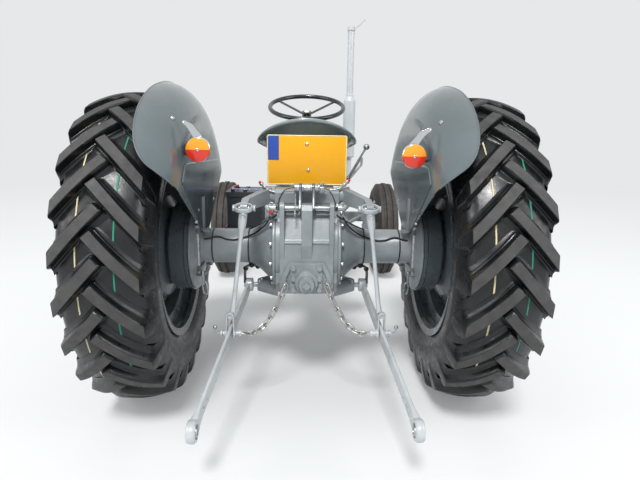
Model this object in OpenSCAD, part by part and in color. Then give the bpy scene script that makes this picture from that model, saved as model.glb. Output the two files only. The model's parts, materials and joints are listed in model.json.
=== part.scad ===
// Vintage farm tractor with beam front axle, shell mudguards and a rear three-point linkage.
// Millimetres. X points right, Y forward, Z up from the ground. Y is counted from the rear
// axle inside the modules; place() then moves the whole machine to the middle of its length.

/* [Stance] */
// Distance from the rear axle to the front axle
wheelbase = 1778; // [1750:1:1810]
// Distance between the middles of the rear tyres
rear_track = 1322; // [1310:1:1380]
// Distance between the middles of the front tyres
front_track = 1219; // [1200:1:1250]

/* [Rear wheels] */
// Outer diameter of a rear tyre over its lugs
rear_tyre_od = 1250; // [1240:1:1256]
// Widest section of a rear tyre
rear_tyre_w = 315; // [305:1:325]
// Lugs on each side of a rear tyre
lug_count = 23; // [20:1:24]
// Height of a lug above the tread base, at the middle
lug_depth = 36; // [26:1:40]
// Width of a lug along the tyre's circumference, at its top
lug_top = 50; // [40:1:58]
// Width of a lug along the tyre's circumference, at its foot
lug_foot = 74; // [64:1:84]
// Angle round the tyre from a lug's nose to its shoulder
lug_sweep = 15.5; // [12:0.5:17]
// Half the tread width, at the lug ends
tread_half = 141; // [136:1:144]
// Drop of the lug tops from the middle to the shoulder
tread_drop = 28; // [22:1:32]
// Radius of a rear rim over its flanges
rear_flange_r = 381; // [378:1:384]
// Outside width of a rear rim
rear_rim_w = 278; // [272:1:284]
// Distance from the tyre's middle in to the face of the wheel disc
disc_dish = 108; // [96:1:116]
// Width of a brake drum
drum_w = 84; // [70:1:90]
// Radius of a brake drum
drum_r = 186; // [176:1:196]

/* [Front wheels] */
// Outer diameter of a front tyre
front_tyre_od = 720; // [704:1:730]
// Widest section of a front tyre
front_tyre_w = 162; // [150:1:168]
// Radius of a front rim over its flanges
front_flange_r = 222; // [218:1:226]
// Outside width of a front rim
front_rim_w = 128; // [122:1:132]
// Distance from the front wheel's middle in to the kingpin
kingpin_offset = 120; // [114:1:130]
// Length of a steering arm
steering_arm = 110; // [100:1:116]

/* [Spine] */
// Width of the rear centre housing
centre_w = 250; // [236:1:260]
// Width of the gearbox
gearbox_w = 230; // [210:1:244]
// Width of the engine block
engine_w = 236; // [216:1:250]
// Radius of an axle tube
tube_r = 73; // [68:1:78]
// Radius of the axle tube's bell flange
bell_r = 168; // [156:1:174]

/* [Bonnet] */
// Distance from the front axle forward to the bonnet's front edge
bonnet_overhang = 122; // [112:1:132]
// Width of the bonnet
bonnet_w = 420; // [400:1:430]
// Height of the bonnet's top above the ground
bonnet_top = 1108; // [1100:1:1116]
// Thickness of the bonnet sheet
bonnet_t = 3; // [2:0.5:4]
// Number of upright bars in the grille
grille_bars = 17; // [11:2:21]

/* [Mudguards] */
// Distance from the middle of the tractor to a mudguard's inner plate
guard_x = 426; // [418:1:430]
// Radius of the mudguard's crown about the rear axle
guard_r = 670; // [664:1:680]
// Distance across a mudguard from its inner plate to its crown
guard_arch = 150; // [142:1:156]
// Thickness of the mudguard sheet
guard_t = 3; // [2:0.5:4]

/* [Seat and steering wheel] */
// Width of the seat pan
seat_w = 466; // [440:1:480]
// Height of the seat's back edge above the ground
seat_top = 1158; // [1140:1:1170]
// Diameter of the steering wheel
wheel_d = 432; // [410:1:440]
// Diameter of the steering wheel's rim
wheel_rim_d = 24; // [20:1:28]

/* [Linkage] */
// Distance between the two balls of a lower link
link_len = 800; // [790:1:810]
// Bore of a lower link's rear ball
ball_bore = 22.4; // [22:0.1:22.8]
// Thickness of a lower link bar
link_t = 14; // [12:1:16]
// Length of a lift arm from the cross shaft to its eye, seen from the side
lift_arm_len = 221; // [215:1:225]
// Diameter of a lift rod
rod_d = 17; // [15:1:20]
// Links in each check chain
chain_links = 8; // [7:1:9]
// Wire diameter of the check chain
chain_wire = 7; // [6:0.5:8]

/* [Fittings] */
// Width of the number plate
plate_w = 340; // [320:1:344]
// Height of the number plate
plate_h = 210; // [200:1:214]
// Diameter of a rear lamp
lamp_d = 87; // [80:1:92]
// Diameter of the exhaust's silencer
silencer_d = 82; // [70:1:88]
// Diameter of the exhaust's tail pipe
tail_d = 44; // [40:1:50]
// Height of the tail pipe's end above the ground
stack_top = 1790; // [1750:1:1820]
// Diameter of the black wiring along the axle tubes
wiring_d = 7; // [6:0.5:9]

/* [Hidden] */

// Paints and metals
cast_grey = "#7f8a8c";
sheet_grey = "#8d9a98";
dark_grey = "#4a545a";
bright_steel = "#b9bdbd";
silver_paint = "#c9cdcf";
tyre_black = "#2b2b2c";
plastic_black = "#1c1c1e";
plate_yellow = "#f2b705";
lamp_red = "#d2451e";

// Gaps: a running fit at pins and shafts, and the space left between seated pieces
run_fit = 0.05;
seat_gap = 0.3;

// Round features are true curves above 12 sides
round_fn = 32;
tyre_fn = 48;

// Front edge of the bonnet, counted from the rear axle
bonnet_front = wheelbase + bonnet_overhang;

// Axle heights
rear_z = rear_tyre_od / 2;
front_z = front_tyre_od / 2;

// Rear linkage points, as [Y, Z]
shaft_yz = [-10, 845];
pivot_yz = [30, 440];
pivot_x = 250;
pivot_pin_r = 11;
arm_droop = 6;
link_drop = 227;
link_splay = 96;
link_back = sqrt(link_len * link_len - link_drop * link_drop - link_splay * link_splay);
ball = [pivot_x + link_splay, pivot_yz[0] - link_back, pivot_yz[1] - link_drop];
ball_r = 22;
ball_eye_r = 36;
eye_pin_r = 11;
rod_share = 0.42;
arm_eye = [237, shaft_yz[0] - lift_arm_len * cos(arm_droop),
    shaft_yz[1] - lift_arm_len * sin(arm_droop)];
rod_pin = [pivot_x + rod_share * link_splay, pivot_yz[0] - rod_share * link_back,
    pivot_yz[1] - rod_share * link_drop];

// Length of the whole machine, from the ball eyes to the front tyres
rear_reach = -(ball[1] - ball_eye_r);
front_reach = wheelbase + front_tyre_od / 2;
mid_y = (front_reach - rear_reach) / 2;

// Steering points
kingpin_x = front_track / 2 - kingpin_offset;
kingpin_r = 17;
steer_arm_z = front_z + 190;
drop_pivot = [150, 880, 800];
drop_len = 215;
drag_z = drop_pivot[2] - drop_len;
drag_start = [drop_pivot[0] + 24, drop_pivot[1], drag_z];
drag_end = [kingpin_x - steering_arm, wheelbase, drag_z];
wheel_tilt = 20;
wheel_centre = [0, 780, 1240];

// Rear wheel places, counted out from the tyre's middle
disc_x = rear_track / 2 - disc_dish;
drum_in_x = disc_x - drum_w;
backing_x = drum_in_x - 2;
half_shaft_r = 30;
// Centre housing: rear face, ledge of its slanted cover, ears for the rocker's pins, flanges
back_y = -168;
ledge_z = 674;
ear_x = 98;
flange_t = 18;
// Lift cover: half width at the cross shaft, shaft, underside, flange and the seat's pad
lift_half = 132;
cross_shaft_r = 24;
cover_low = 812 + seat_gap;
cover_flange = 832;
seat_pad_z = 876;
// Bells of the axle tubes, the collar outside them, and the clamps with their studs
bell_in = centre_w / 2 + seat_gap;
bell_out = 250;
collar_w = 14;
clamp_x = 445;
stud_y = tube_r + 14;
// Gearbox and engine
gearbox_top = 770;
lid_top = 800;
engine_back = 1000;
engine_front = wheelbase - 218;
rocker_top = 918;
manifold_x = 164;
manifold_z = 814;
// Front axle: middle of the beam, top of the bolster, and the bonnet's hinge as [Y, Z]
beam_z = front_z + 96;
bolster_top = 600;
hinge_yz = [bonnet_front - 20, 640];
hinge_r = 8;
stub_r = 19;
hub_in = -78;
// Steering box and the steering wheel's shaft
steering_box_top = 872;
shaft_r = 11;
hub_drop = 62;
// Back edge, lower edges and crown of the bonnet
bonnet_back = 905;
skirt_z = 850;
nose_z = 650;
crown_rise = 8;
// Middle of the seat pan, its depth, floor and sheet, and its rise at the sides and front
seat_mid = [0, 292];
seat_deep = 380;
seat_floor = 986;
seat_t = 3;
side_rise = 76;
front_rise = 14;
// Middle of the number plate, and of a rear lamp
plate_z = 987;
lamp_x = guard_x - 60;
lamp_y = -320;
lamp_z = 1035;
// Upright exhaust
stack_x = 295;
stack_y = engine_front - 140;
// Tread base at the middle of a rear tyre, and the rim's seat with the tyre's bead on it
crown_r = rear_tyre_od / 2 - lug_depth;
rear_seat_r = rear_flange_r - 23;
bead_r = rear_seat_r + seat_gap;
bead_x = rear_rim_w / 2 - 14;
// Mudguards: angle of the lower edges, foot on the axle tube, radius of the inner plate's lower
// part, and the gap that the edge keeps from the plate
guard_low = 31;
guard_foot = tube_r + seat_gap;
plate_r = guard_r - 165;
edge_gap = 21.5;
// Power shaft: height of its cap, rear face of the housing, and pin of a check chain
pto_z = 516;
plate_y = back_y - seat_gap;
chain_pin = [82, plate_y, 504];
// Rocker of the top link: its pin and the sleeve that the link's eye turns on, as [Y, Z]
rocker_pin = [-148, 812];
sleeve_yz = [-92, 886];
// Sag of a check chain
chain_sag = 26;

module place() {
    translate([0, -mid_y, 0]) children();
}

// Draws a left-hand copy for side -1
module on_side(side) {
    if (side > 0) children();
    else mirror([1, 0, 0]) children();
}

// Solid bar between two points
module bar(from, to, r) {
    span = to - from;
    reach = norm(span);
    translate(from)
        rotate([0, acos(span[2] / reach), atan2(span[1], span[0])])
        cylinder(r = r, h = reach, $fn = round_fn);
}

// Cylinder along X, from x0 to x1
module cross_bar(x0, x1, r, y = 0, z = 0) {
    translate([x0, y, z]) rotate([0, 90, 0]) cylinder(r = r, h = x1 - x0, $fn = round_fn);
}

// Box given by its lowest and highest corners
module block(low, high) {
    translate(low) cube(high - low);
}

// Tapered bar of rectangular section between two points that lie apart along Y
module strut(from, to, size_from, size_to) {
    hull() {
        translate(from) cube([size_from[0], 1, size_from[1]], center = true);
        translate(to) cube([size_to[0], 1, size_to[1]], center = true);
    }
}

// Plate from x0 to x1 of an outline drawn in Y and Z
module side_plate(x0, x1) {
    translate([x0, 0, 0]) rotate([90, 0, 90]) linear_extrude(x1 - x0) children();
}

// Plate of an outline drawn in X and Z, with its front face at y and its thickness toward the rear
module rear_plate(y, thick) {
    translate([0, y, 0]) rotate([90, 0, 0]) linear_extrude(thick) children();
}

// Turned piece whose axis points to the rear, of [radius, distance behind the origin]
module turned_back(at, profile, fn = round_fn) {
    translate(at) rotate([90, 0, 0]) rotate_extrude($fn = fn) polygon(profile);
}

// Rectangle with round corners between two corners
module rounded(low, high, r) {
    for (x = [low[0] + r, high[0] - r]) for (y = [low[1] + r, high[1] - r])
        translate([x, y]) circle(r = r, $fn = round_fn);
    translate(low + [r, 0]) square(high - low - [2 * r, 0]);
    translate(low + [0, r]) square(high - low - [0, 2 * r]);
}

// Points of an arc for a revolve, as [radius from the wheel axis, distance along it]
function side_arc(mid_r, mid_x, high, wide, from, to, steps) =
    [for (i = [0 : steps]) let (a = from + (to - from) * i / steps)
        [mid_r + high * sin(a), mid_x + wide * cos(a)]];
function reversed(points) = [for (i = [len(points) - 1 : -1 : 0]) points[i]];
function flipped(points) = [for (p = points) [p[0], -p[1]]];
// A half outline that starts at the middle, carried on to the other side
function both_sides(half) = concat(reversed(flipped(half)), [for (i = [1 : len(half) - 1]) half[i]]);

// Revolves a profile of [radius, x] about the X axis
module spin_x(profile, fn = round_fn) {
    rotate([0, 90, 0]) rotate_extrude($fn = fn) polygon(profile);
}

// Rear tyre, its middle at the origin and +X outward
function tread_base(x) = crown_r - 34 * pow(x / tread_half, 2);
function tread_tip(x) = rear_tyre_od / 2 - tread_drop * pow(x / tread_half, 2);

module rear_carcass() {
    wall_mid = 468;
    wall_high = 92;
    wall_wide = 45;
    wall_x = rear_tyre_w / 2 - wall_wide;
    skin = 22;
    half = concat([[crown_r, 0], [tread_base(tread_half / 2), tread_half / 2]],
        side_arc(wall_mid, wall_x, wall_high, wall_wide, 66, -58, 5),
        [[rear_flange_r + 2, bead_x + 5], [bead_r, bead_x]]);
    inner = concat([[crown_r - skin, 0], [tread_base(tread_half / 2) - skin, tread_half / 2]],
        side_arc(wall_mid, wall_x, wall_high - skin, wall_wide - skin, 66, -70, 3),
        [[bead_r, bead_x - skin]]);
    spin_x(concat(both_sides(half), reversed(both_sides(inner))), tyre_fn);
}

// One lug from its nose past the middle to its foot at the shoulder
// Station columns: x at the top, x at the foot, radius at the top, radius at the foot
module lug() {
    nose = -12;
    sink = 14;
    stations = [
        [nose, nose - 8, tread_tip(nose), tread_base(nose) - sink],
        [60, 60, tread_tip(60), tread_base(60) - sink],
        [110, 110, tread_tip(110), tread_base(110) - sink],
        [tread_half, tread_half + 6, tread_tip(tread_half), tread_base(tread_half) - 3 * sink]];
    points = [for (s = stations)
        let (turn = lug_sweep * (s[0] - nose) / (tread_half - nose))
        for (k = [[s[1], s[3], -lug_foot], [s[1], s[3], lug_foot],
                  [s[0], s[2], lug_top], [s[0], s[2], -lug_top]])
            let (a = turn + k[2] / 2 / rear_z * 180 / PI)
            [k[0], k[1] * cos(a), k[1] * sin(a)]];
    last = len(stations) - 1;
    sides = [for (i = [0 : last - 1]) for (k = [0 : 3])
        let (p = 4 * i + k, q = 4 * i + (k + 1) % 4)
        for (f = [[p, q + 4, p + 4], [p, q, q + 4]]) f];
    ends = [[0, 2, 1], [0, 3, 2],
        [4 * last, 4 * last + 1, 4 * last + 2], [4 * last, 4 * last + 2, 4 * last + 3]];
    polyhedron(points, concat(sides, ends));
}

module rear_tyre() {
    pitch = 360 / lug_count;
    union() {
        rear_carcass();
        for (i = [0 : lug_count - 1]) {
            rotate([i * pitch, 0, 0]) lug();
            rotate([(i + 0.5) * pitch, 0, 0]) mirror([1, 0, 0]) lug();
        }
    }
}

// Rear wheel: rim, dished disc, brake drum and half shaft
module rear_wheel() {
    edge = rear_rim_w / 2;
    seat_r = rear_seat_r;
    well_r = rear_flange_r - 62;
    t = 6;
    rim = [[rear_flange_r, edge], [rear_flange_r, edge - t], [seat_r, edge - 2 * t],
        [seat_r - 3, 78], [well_r, 62], [well_r, -62], [seat_r - 3, -78],
        [seat_r, 2 * t - edge], [rear_flange_r, t - edge], [rear_flange_r, -edge],
        [seat_r - t, t - edge], [seat_r - t - 3, -84], [well_r - t, -66],
        [well_r - t, 66], [seat_r - t - 3, 84], [seat_r - t, edge - t]];
    spin_x(rim, tyre_fn);
    face = -disc_dish;
    disc = [[0, face], [150, face], [210, face + 26], [250, face + 70], [well_r - 4, face + 96],
        [well_r - 4, face + 102], [246, face + 78], [205, face + 34], [148, face + 8],
        [0, face + 8]];
    difference() {
        spin_x(disc, tyre_fn);
        for (i = [0 : 7]) rotate([i * 45, 0, 0]) cross_bar(face - 1, face + 120, 17, 0, 232);
    }
    spin_x([[well_r - t - 0.1, face + 99], [well_r - 12, face + 99], [well_r - 12, face + 105],
        [well_r - t - 0.1, face + 105]], tyre_fn);
    spin_x([[0, face + 8], [88, face + 8], [70, face + 40], [44, face + 58], [0, face + 58]]);
    spin_x([[half_shaft_r, face], [half_shaft_r, face - drum_w - 2], [drum_r - 8, face - drum_w - 2],
        [drum_r - 8, face - drum_w], [drum_r + 3, face - drum_w], [drum_r + 3, face - drum_w + 12],
        [drum_r, face - drum_w + 16], [drum_r, face - 14], [drum_r - 16, face]], tyre_fn);
    cross_bar(face - drum_w - 70, face, half_shaft_r);
}

// Front tyre with three ribs round it
module front_tyre() {
    r = front_tyre_od / 2;
    wall = 30;
    wall_mid = r - 78;
    wall_x = front_tyre_w / 2 - wall;
    bead = front_flange_r - 18 + seat_gap;
    edge = front_rim_w / 2 - 10;
    skin = 12;
    ribs = [[r, 0], [r, 12], [r - 13, 15], [r - 14, 30], [r - 5, 34], [r - 8, 54], [r - 18, 59]];
    outer = concat(ribs, side_arc(wall_mid, wall_x, 56, wall, 62, -60, 5),
        [[front_flange_r + 2, edge + 3], [bead, edge]]);
    inner = concat([[r - 28, 0], [r - 31, 40]],
        side_arc(wall_mid, wall_x, 56 - skin, wall - skin, 62, -66, 4), [[bead, edge - skin]]);
    spin_x(concat(both_sides(outer), reversed(both_sides(inner))), tyre_fn);
}

// Front rim, disc and hub, running on the stub axle
module front_wheel() {
    edge = front_rim_w / 2;
    seat_r = front_flange_r - 18;
    well_r = front_flange_r - 36;
    t = 5;
    rim = [[front_flange_r, edge], [front_flange_r, edge - t], [seat_r, edge - 8],
        [seat_r - 2, 38], [well_r, 28], [well_r, -28], [seat_r - 2, -38], [seat_r, 8 - edge],
        [front_flange_r, t - edge], [front_flange_r, -edge], [seat_r - t, 3 - edge],
        [seat_r - t - 2, -42], [well_r - t, -31], [well_r - t, 31], [seat_r - t - 2, 42],
        [seat_r - t, edge - 3]];
    spin_x(rim, tyre_fn);
    difference() {
        spin_x([[50, -14], [100, -14], [150, 6], [well_r - 2, 12], [well_r - 2, 18],
            [148, 12], [98, -8], [50, -8]], tyre_fn);
        for (i = [0 : 4]) rotate([i * 72, 0, 0]) cross_bar(-20, 30, 12, 0, 126);
    }
    spin_x([[stub_r + run_fit, hub_in], [44, hub_in], [44, -30], [68, -24], [68, -14], [54, -8],
        [46, 20], [40, 44], [20, 54], [0, 54], [0, 36], [stub_r + run_fit, 36]]);
}

// Rear centre housing: slanted back cover between its ears and side flanges
module centre_housing() color(cast_grey) place() {
    half = centre_w / 2;
    slant = [-106, 800];
    side_plate(flange_t - half, half - flange_t) polygon([[back_y, 486], [back_y, ledge_z],
        [back_y + 8, ledge_z + 14], slant, [-96, 812], [196, 812], [200, 470], [120, 436], [-60, 436],
        [-130, 452]]);
    side_plate(-half, half) polygon([[-142, 500], [-142, 690], [-100, 764], [60, 792], [198, 792],
        [200, 470], [120, 436], [-60, 436], [-122, 458]]);
    cross_bar(-half, half, 164, 0, rear_z);
    cross_bar(flange_t - half, half - flange_t, 7, back_y + 3, ledge_z);
    for (x = [-ear_x, ear_x]) side_plate(x - 9, x + 9) {
        polygon([[back_y, 610], [back_y - 8, ledge_z], [back_y - 2, 812], [-126, 812], slant, [-106, 610]]);
        translate([-148, 812]) circle(r = 22, $fn = 30);
    }
    side_plate(-21, 21) polygon([[back_y, 610], [back_y - 16, ledge_z - 8], [back_y - 14, 806],
        [-168, 826], [-124, 828], slant, [-106, 610]]);
}

// Hydraulic lift cover on top of the centre housing, bored for the cross shaft, with the
// ram cylinder's barrel lengthwise under the seat bracket's pad
module lift_cover() color(cast_grey) place() {
    difference() {
        union() {
            block([-122, -60, cover_low], [122, 350, cover_flange]);
            side_plate(-lift_half, lift_half) polygon([[-62, 818], [-62, 860], [-50, 874], [34, 874],
                [48, 858], [48, 818]]);
            rear_plate(330, 300) intersection() {
                translate([0, 800]) circle(r = 68, $fn = tyre_fn);
                translate([-80, cover_low]) square([160, 80]);
            }
            block([-40, 110, cover_flange], [40, 250, seat_pad_z]);
            for (x = [-112, 112]) for (y = [0 : 80 : 320])
                translate([x, y + 10, cover_low]) cylinder(r = 12, h = 28, $fn = 6);
        }
        cross_bar(-lift_half - 1, lift_half + 1, cross_shaft_r + run_fit,
            shaft_yz[0], shaft_yz[1]);
    }
}

// Domed bells, axle tubes and backing plates, with tapered bosses and pins for the lower
// links, and the clamps of the mudguards' feet
// Radius of the casting at a distance out from the middle
function bell_surface(x) = x < bell_in + 14 ? bell_r : x < bell_out
    ? tube_r + 6 + (bell_r - tube_r - 12) * sqrt(1 - pow((x - bell_in - 14) / (bell_out - bell_in - 14), 2))
    : x < bell_out + collar_w ? tube_r + 8 : tube_r;
module axle_tubes() color(cast_grey) place() {
    end = backing_x;
    dome = [for (i = [0 : 9]) let (a = 90 - 10 * i)
        [tube_r + 6 + (bell_r - tube_r - 12) * sin(a), bell_in + 14 + (bell_out - bell_in - 14) * cos(a)]];
    for (s = [-1, 1]) on_side(s) translate([0, 0, rear_z]) {
        spin_x(concat([[0, bell_in], [bell_r, bell_in], [bell_r, bell_in + 14]], dome,
            [[tube_r + 8, bell_out], [tube_r + 8, bell_out + collar_w], [tube_r, bell_out + collar_w + 2],
            [tube_r, end - 30], [tube_r + 18, end - 22], [drum_r - 2, end - 8], [drum_r - 2, end],
            [half_shaft_r + run_fit, end], [half_shaft_r + run_fit, end - 90], [0, end - 90]]), tyre_fn);
        translate([bell_in, pivot_yz[0], pivot_yz[1] - rear_z]) rotate([0, 90, 0]) {
            cylinder(r1 = 52, r2 = 27, h = pivot_x - 36 - bell_in, $fn = round_fn);
            cylinder(r = pivot_pin_r, h = pivot_x + 24 - bell_in, $fn = round_fn);
        }
        for (z = [-tube_r - 16, tube_r - 4])
            block([clamp_x - 13, -stud_y - 14, z], [clamp_x + 13, stud_y + 14, z + 20]);
        for (y = [-stud_y, stud_y]) translate([clamp_x, y, -tube_r - 30])
            cylinder(r = 7, h = 2 * tube_r + 60, $fn = round_fn);
    }
}

// Gearbox and clutch housing between the centre housing and the engine, with flanges, side
// ribs and the gear lever's lid
module gearbox() color(cast_grey) place() {
    half = gearbox_w / 2;
    back = 200 + seat_gap;
    front = 1000 - seat_gap;
    rear_plate(640, 640 - back) rounded([-half + 14, 470], [half - 14, gearbox_top - 6], 34);
    block([-half + 6, back, 464], [half - 6, back + 16, gearbox_top]);
    hull() {
        block([-half + 14, 620, 478], [half - 14, 640, gearbox_top - 14]);
        block([-half - 6, 868, 426], [half + 6, front - 18, gearbox_top - 10]);
    }
    block([-half - 12, front - 22, 416], [half + 12, front, gearbox_top]);
    block([-70, 260, gearbox_top - 20], [70, 620, lid_top - 12]);
    translate([0, 480, lid_top - 14]) cylinder(r = 58, h = 14, $fn = round_fn);
    for (y = [330, 470]) block([-half + 6, y, 490], [half - 6, y + 14, gearbox_top - 30]);
    for (s = [-1, 1]) on_side(s) cross_bar(half - 20, half + 8, 46, 560, 640);
    block([-100, drop_pivot[1] - 96, gearbox_top - 16], [100, front - 4, gearbox_top]);
}

// Engine block with sump, head, rocker cover, manifold, dynamo, starter and oil filter
module engine() color(cast_grey) place() {
    half = engine_w / 2;
    long = engine_front - engine_back;
    block([-half, engine_back, 520], [half, engine_front - 20, 780]);
    block([-half - 8, engine_back, 500], [half + 8, engine_back + 16, 772]);
    block([-half + 10, engine_front - 24, 470], [half - 10, engine_front, 800]);
    rear_plate(engine_front - 30, long - 34) rounded([-half + 22, 392], [half - 22, 530], 36);
    block([-half + 2, engine_back + 4, 506], [half - 2, engine_front - 30, 522]);
    block([-half + 22, engine_back + 12, 780], [half - 22, engine_front - 12, 858]);
    rear_plate(engine_front - 30, long - 60) rounded([-62, 840], [62, rocker_top], 26);
    for (y = [engine_back + 80 : 110 : engine_front - 80]) {
        cross_bar(half - 30, manifold_x, 15, y, manifold_z);
        cross_bar(-half, -half + 26, 9, y, 846);
    }
    translate([manifold_x, engine_back + 60, manifold_z]) rotate([-90, 0, 0])
        cylinder(r = 21, h = long - 130, $fn = round_fn);
    translate([-half - 56, engine_back + 280, 700]) rotate([-90, 0, 0]) {
        cylinder(r = 50, h = 190, $fn = round_fn);
        translate([0, 0, 190]) cylinder(r1 = 50, r2 = 36, h = 14, $fn = round_fn);
        translate([0, 0, 200]) cylinder(r = 14, h = 30, $fn = round_fn);
        translate([0, 0, 216]) cylinder(r = 42, h = 12, $fn = round_fn);
    }
    block([-half - 60, engine_back + 300, 640], [-half + 2, engine_back + 450, 668]);
    translate([-half - 34, engine_back + 16, 668]) rotate([-90, 0, 0])
        cylinder(r = 42, h = 170, $fn = round_fn);
    translate([half + 42, engine_back + 80, 626]) cylinder(r = 36, h = 120, $fn = round_fn);
    block([half - 2, engine_back + 50, 736], [half + 46, engine_back + 110, 766]);
    translate([-half + 4, engine_back + 210, 770]) cylinder(r = 26, h = 96, $fn = round_fn);
}

// Radiator with its header and bottom tanks, cooling fins, and the fan behind it
module radiator() color(dark_grey) place() {
    y = wheelbase - 138;
    half = 158;
    base = bolster_top + seat_gap;
    block([-half, y, base], [half, y + 60, base + 50]);
    block([-half, y, 910], [half, y + 60, 985]);
    rear_plate(y + 64, 68) rounded([-half - 6, 925], [half + 6, 985], 22);
    block([-half + 8, y + 8, base + 40], [half - 8, y + 52, 920]);
    for (x = [-half, half - 10]) block([x, y, base + 40], [x + 10, y + 60, 920]);
    for (i = [1 : 16]) block([-half + 2, y + 3, base + 40 + i * 15], [half - 2, y + 57, base + 43 + i * 15]);
    translate([0, y - 40, 760]) rotate([90, 0, 0]) {
        cylinder(r = 46, h = 40 - seat_gap, $fn = round_fn);
        for (i = [0 : 3]) rotate([0, 0, 45 + 90 * i])
            translate([30, -26, 8]) rotate([18, 0, 0]) cube([120, 52, 4]);
    }
}

// Front support with the bonnet's hinge lugs, and the axle beam with its kingpin bosses
module front_axle() color(cast_grey) place() {
    boss_r = 34;
    block([-110, engine_front + seat_gap, 520], [110, wheelbase + 70, bolster_top]);
    block([-50, wheelbase - 60, beam_z - 10], [50, wheelbase + 60, 520]);
    difference() {
        for (s = [-1, 1]) on_side(s) {
            block([96, wheelbase + 12, bolster_top - 10], [108, wheelbase + 70, hinge_yz[1] + 14]);
            block([96, wheelbase + 60, hinge_yz[1] - 14], [108, hinge_yz[0], hinge_yz[1] + 14]);
            cross_bar(96, 108, 14, hinge_yz[0], hinge_yz[1]);
        }
        cross_bar(-120, 120, hinge_r + run_fit, hinge_yz[0], hinge_yz[1]);
    }
    difference() {
        union() {
            block([-kingpin_x, wheelbase - 24, beam_z - 36], [kingpin_x, wheelbase + 24, beam_z + 36]);
            for (s = [-1, 1]) translate([s * kingpin_x, wheelbase, beam_z - 60])
                cylinder(r = boss_r, h = 130, $fn = round_fn);
        }
        for (s = [-1, 1]) translate([s * kingpin_x, wheelbase, beam_z - 70])
            cylinder(r = kingpin_r + run_fit, h = 150, $fn = round_fn);
    }
}

// Radius rods from the axle ends back to the clutch housing
module radius_rods() color(cast_grey) place() {
    x = kingpin_x - 64;
    y = wheelbase - 24 - seat_gap;
    side = gearbox_w / 2 + 12 + seat_gap;
    for (s = [-1, 1]) on_side(s) {
        bar([x, y - 20, beam_z], [side + 20, 940, 500], 14);
        block([x - 20, y - 40, beam_z - 18], [x + 20, y, beam_z + 18]);
        block([side, 915, 475], [side + 38, 965, 525]);
    }
}

// Steering knuckle: kingpin, stub axle and steering arm
module knuckle(side) color(cast_grey) place() on_side(side) {
    translate([kingpin_x, wheelbase, 0]) {
        translate([0, 0, front_z - 24]) cylinder(r = 40, h = beam_z - 61 - front_z + 24, $fn = round_fn);
        translate([0, 0, front_z]) cylinder(r = kingpin_r, h = steer_arm_z - front_z + 10, $fn = round_fn);
        translate([0, 0, beam_z + 71]) cylinder(r = 30, h = steer_arm_z + 18 - beam_z - 71, $fn = round_fn);
        translate([-steering_arm, -16, steer_arm_z]) cube([steering_arm, 32, 16]);
        translate([-steering_arm, 0, steer_arm_z]) cylinder(r = 20, h = 16, $fn = round_fn);
        cross_bar(0, kingpin_offset + hub_in - seat_gap, 32, 0, front_z);
        cross_bar(0, kingpin_offset + 30, stub_r, 0, front_z);
    }
}

module drop_arm(side) color(cast_grey) place() on_side(side) {
    p = drop_pivot;
    cross_bar(p[0] - 10, p[0] + 12, 30, p[1], p[2]);
    block([p[0] - 8, p[1] - 17, drag_z], [p[0] + 8, p[1] + 17, p[2]]);
    cross_bar(p[0] - 8, p[0] + 8, 22, p[1], drag_z);
    cross_bar(p[0], p[0] + 40, 10, p[1], drag_z);
}

module drag_link(side) color(bright_steel) place() on_side(side) {
    difference() {
        union() {
            bar(drag_start, drag_end, 13);
            cross_bar(drag_start[0] - 12, drag_start[0] + 12, 22, drag_start[1], drag_z);
        }
        cross_bar(drag_start[0] - 30, drag_start[0] + 30, 10 + run_fit, drag_start[1], drag_z);
    }
    translate([drag_end[0], drag_end[1], drag_z - 14]) cylinder(r = 20, h = 28, $fn = round_fn);
}

// Steering box on the clutch housing, with the drop arms' shafts, and the tube up to the wheel
module steering_column() color(cast_grey) place() {
    p = drop_pivot;
    base = gearbox_top + seat_gap;
    side_plate(-92, 92) polygon([[p[1] - 84, base], [p[1] - 84, base + 50],
        [p[1] - 52, steering_box_top], [p[1] + 60, steering_box_top], [p[1] + 84, base + 60],
        [p[1] + 84, base]]);
    block([-108, p[1] - 92, base], [108, p[1] + 92, base + 14]);
    for (s = [-1, 1]) on_side(s) {
        cross_bar(90, 112, 40, p[1], p[2] + 12);
        cross_bar(110, p[0] - 10 - seat_gap, 22, p[1], p[2]);
    }
    translate(wheel_centre) rotate([wheel_tilt, 0, 0]) difference() {
        union() {
            translate([0, 0, -420]) cylinder(r = 22, h = 420 - hub_drop - seat_gap, $fn = round_fn);
            translate([0, 0, -410]) cylinder(r1 = 48, r2 = 24, h = 50, $fn = round_fn);
        }
        translate([0, 0, -180]) cylinder(r = shaft_r + run_fit, h = 180, $fn = round_fn);
    }
}

module steering_wheel() color(dark_grey) place() {
    translate(wheel_centre) rotate([wheel_tilt, 0, 0]) {
        rotate_extrude($fn = tyre_fn) translate([(wheel_d - wheel_rim_d) / 2, 0])
            circle(d = wheel_rim_d, $fn = round_fn);
        translate([0, 0, -hub_drop]) cylinder(r = 26, h = 36, $fn = round_fn);
        translate([0, 0, -160]) cylinder(r = shaft_r, h = 110, $fn = round_fn);
        for (a = [35, 145, 270]) rotate([0, 0, a])
            bar([18, 0, -44], [(wheel_d - wheel_rim_d) / 2, 0, 0], 6);
    }
}

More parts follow.
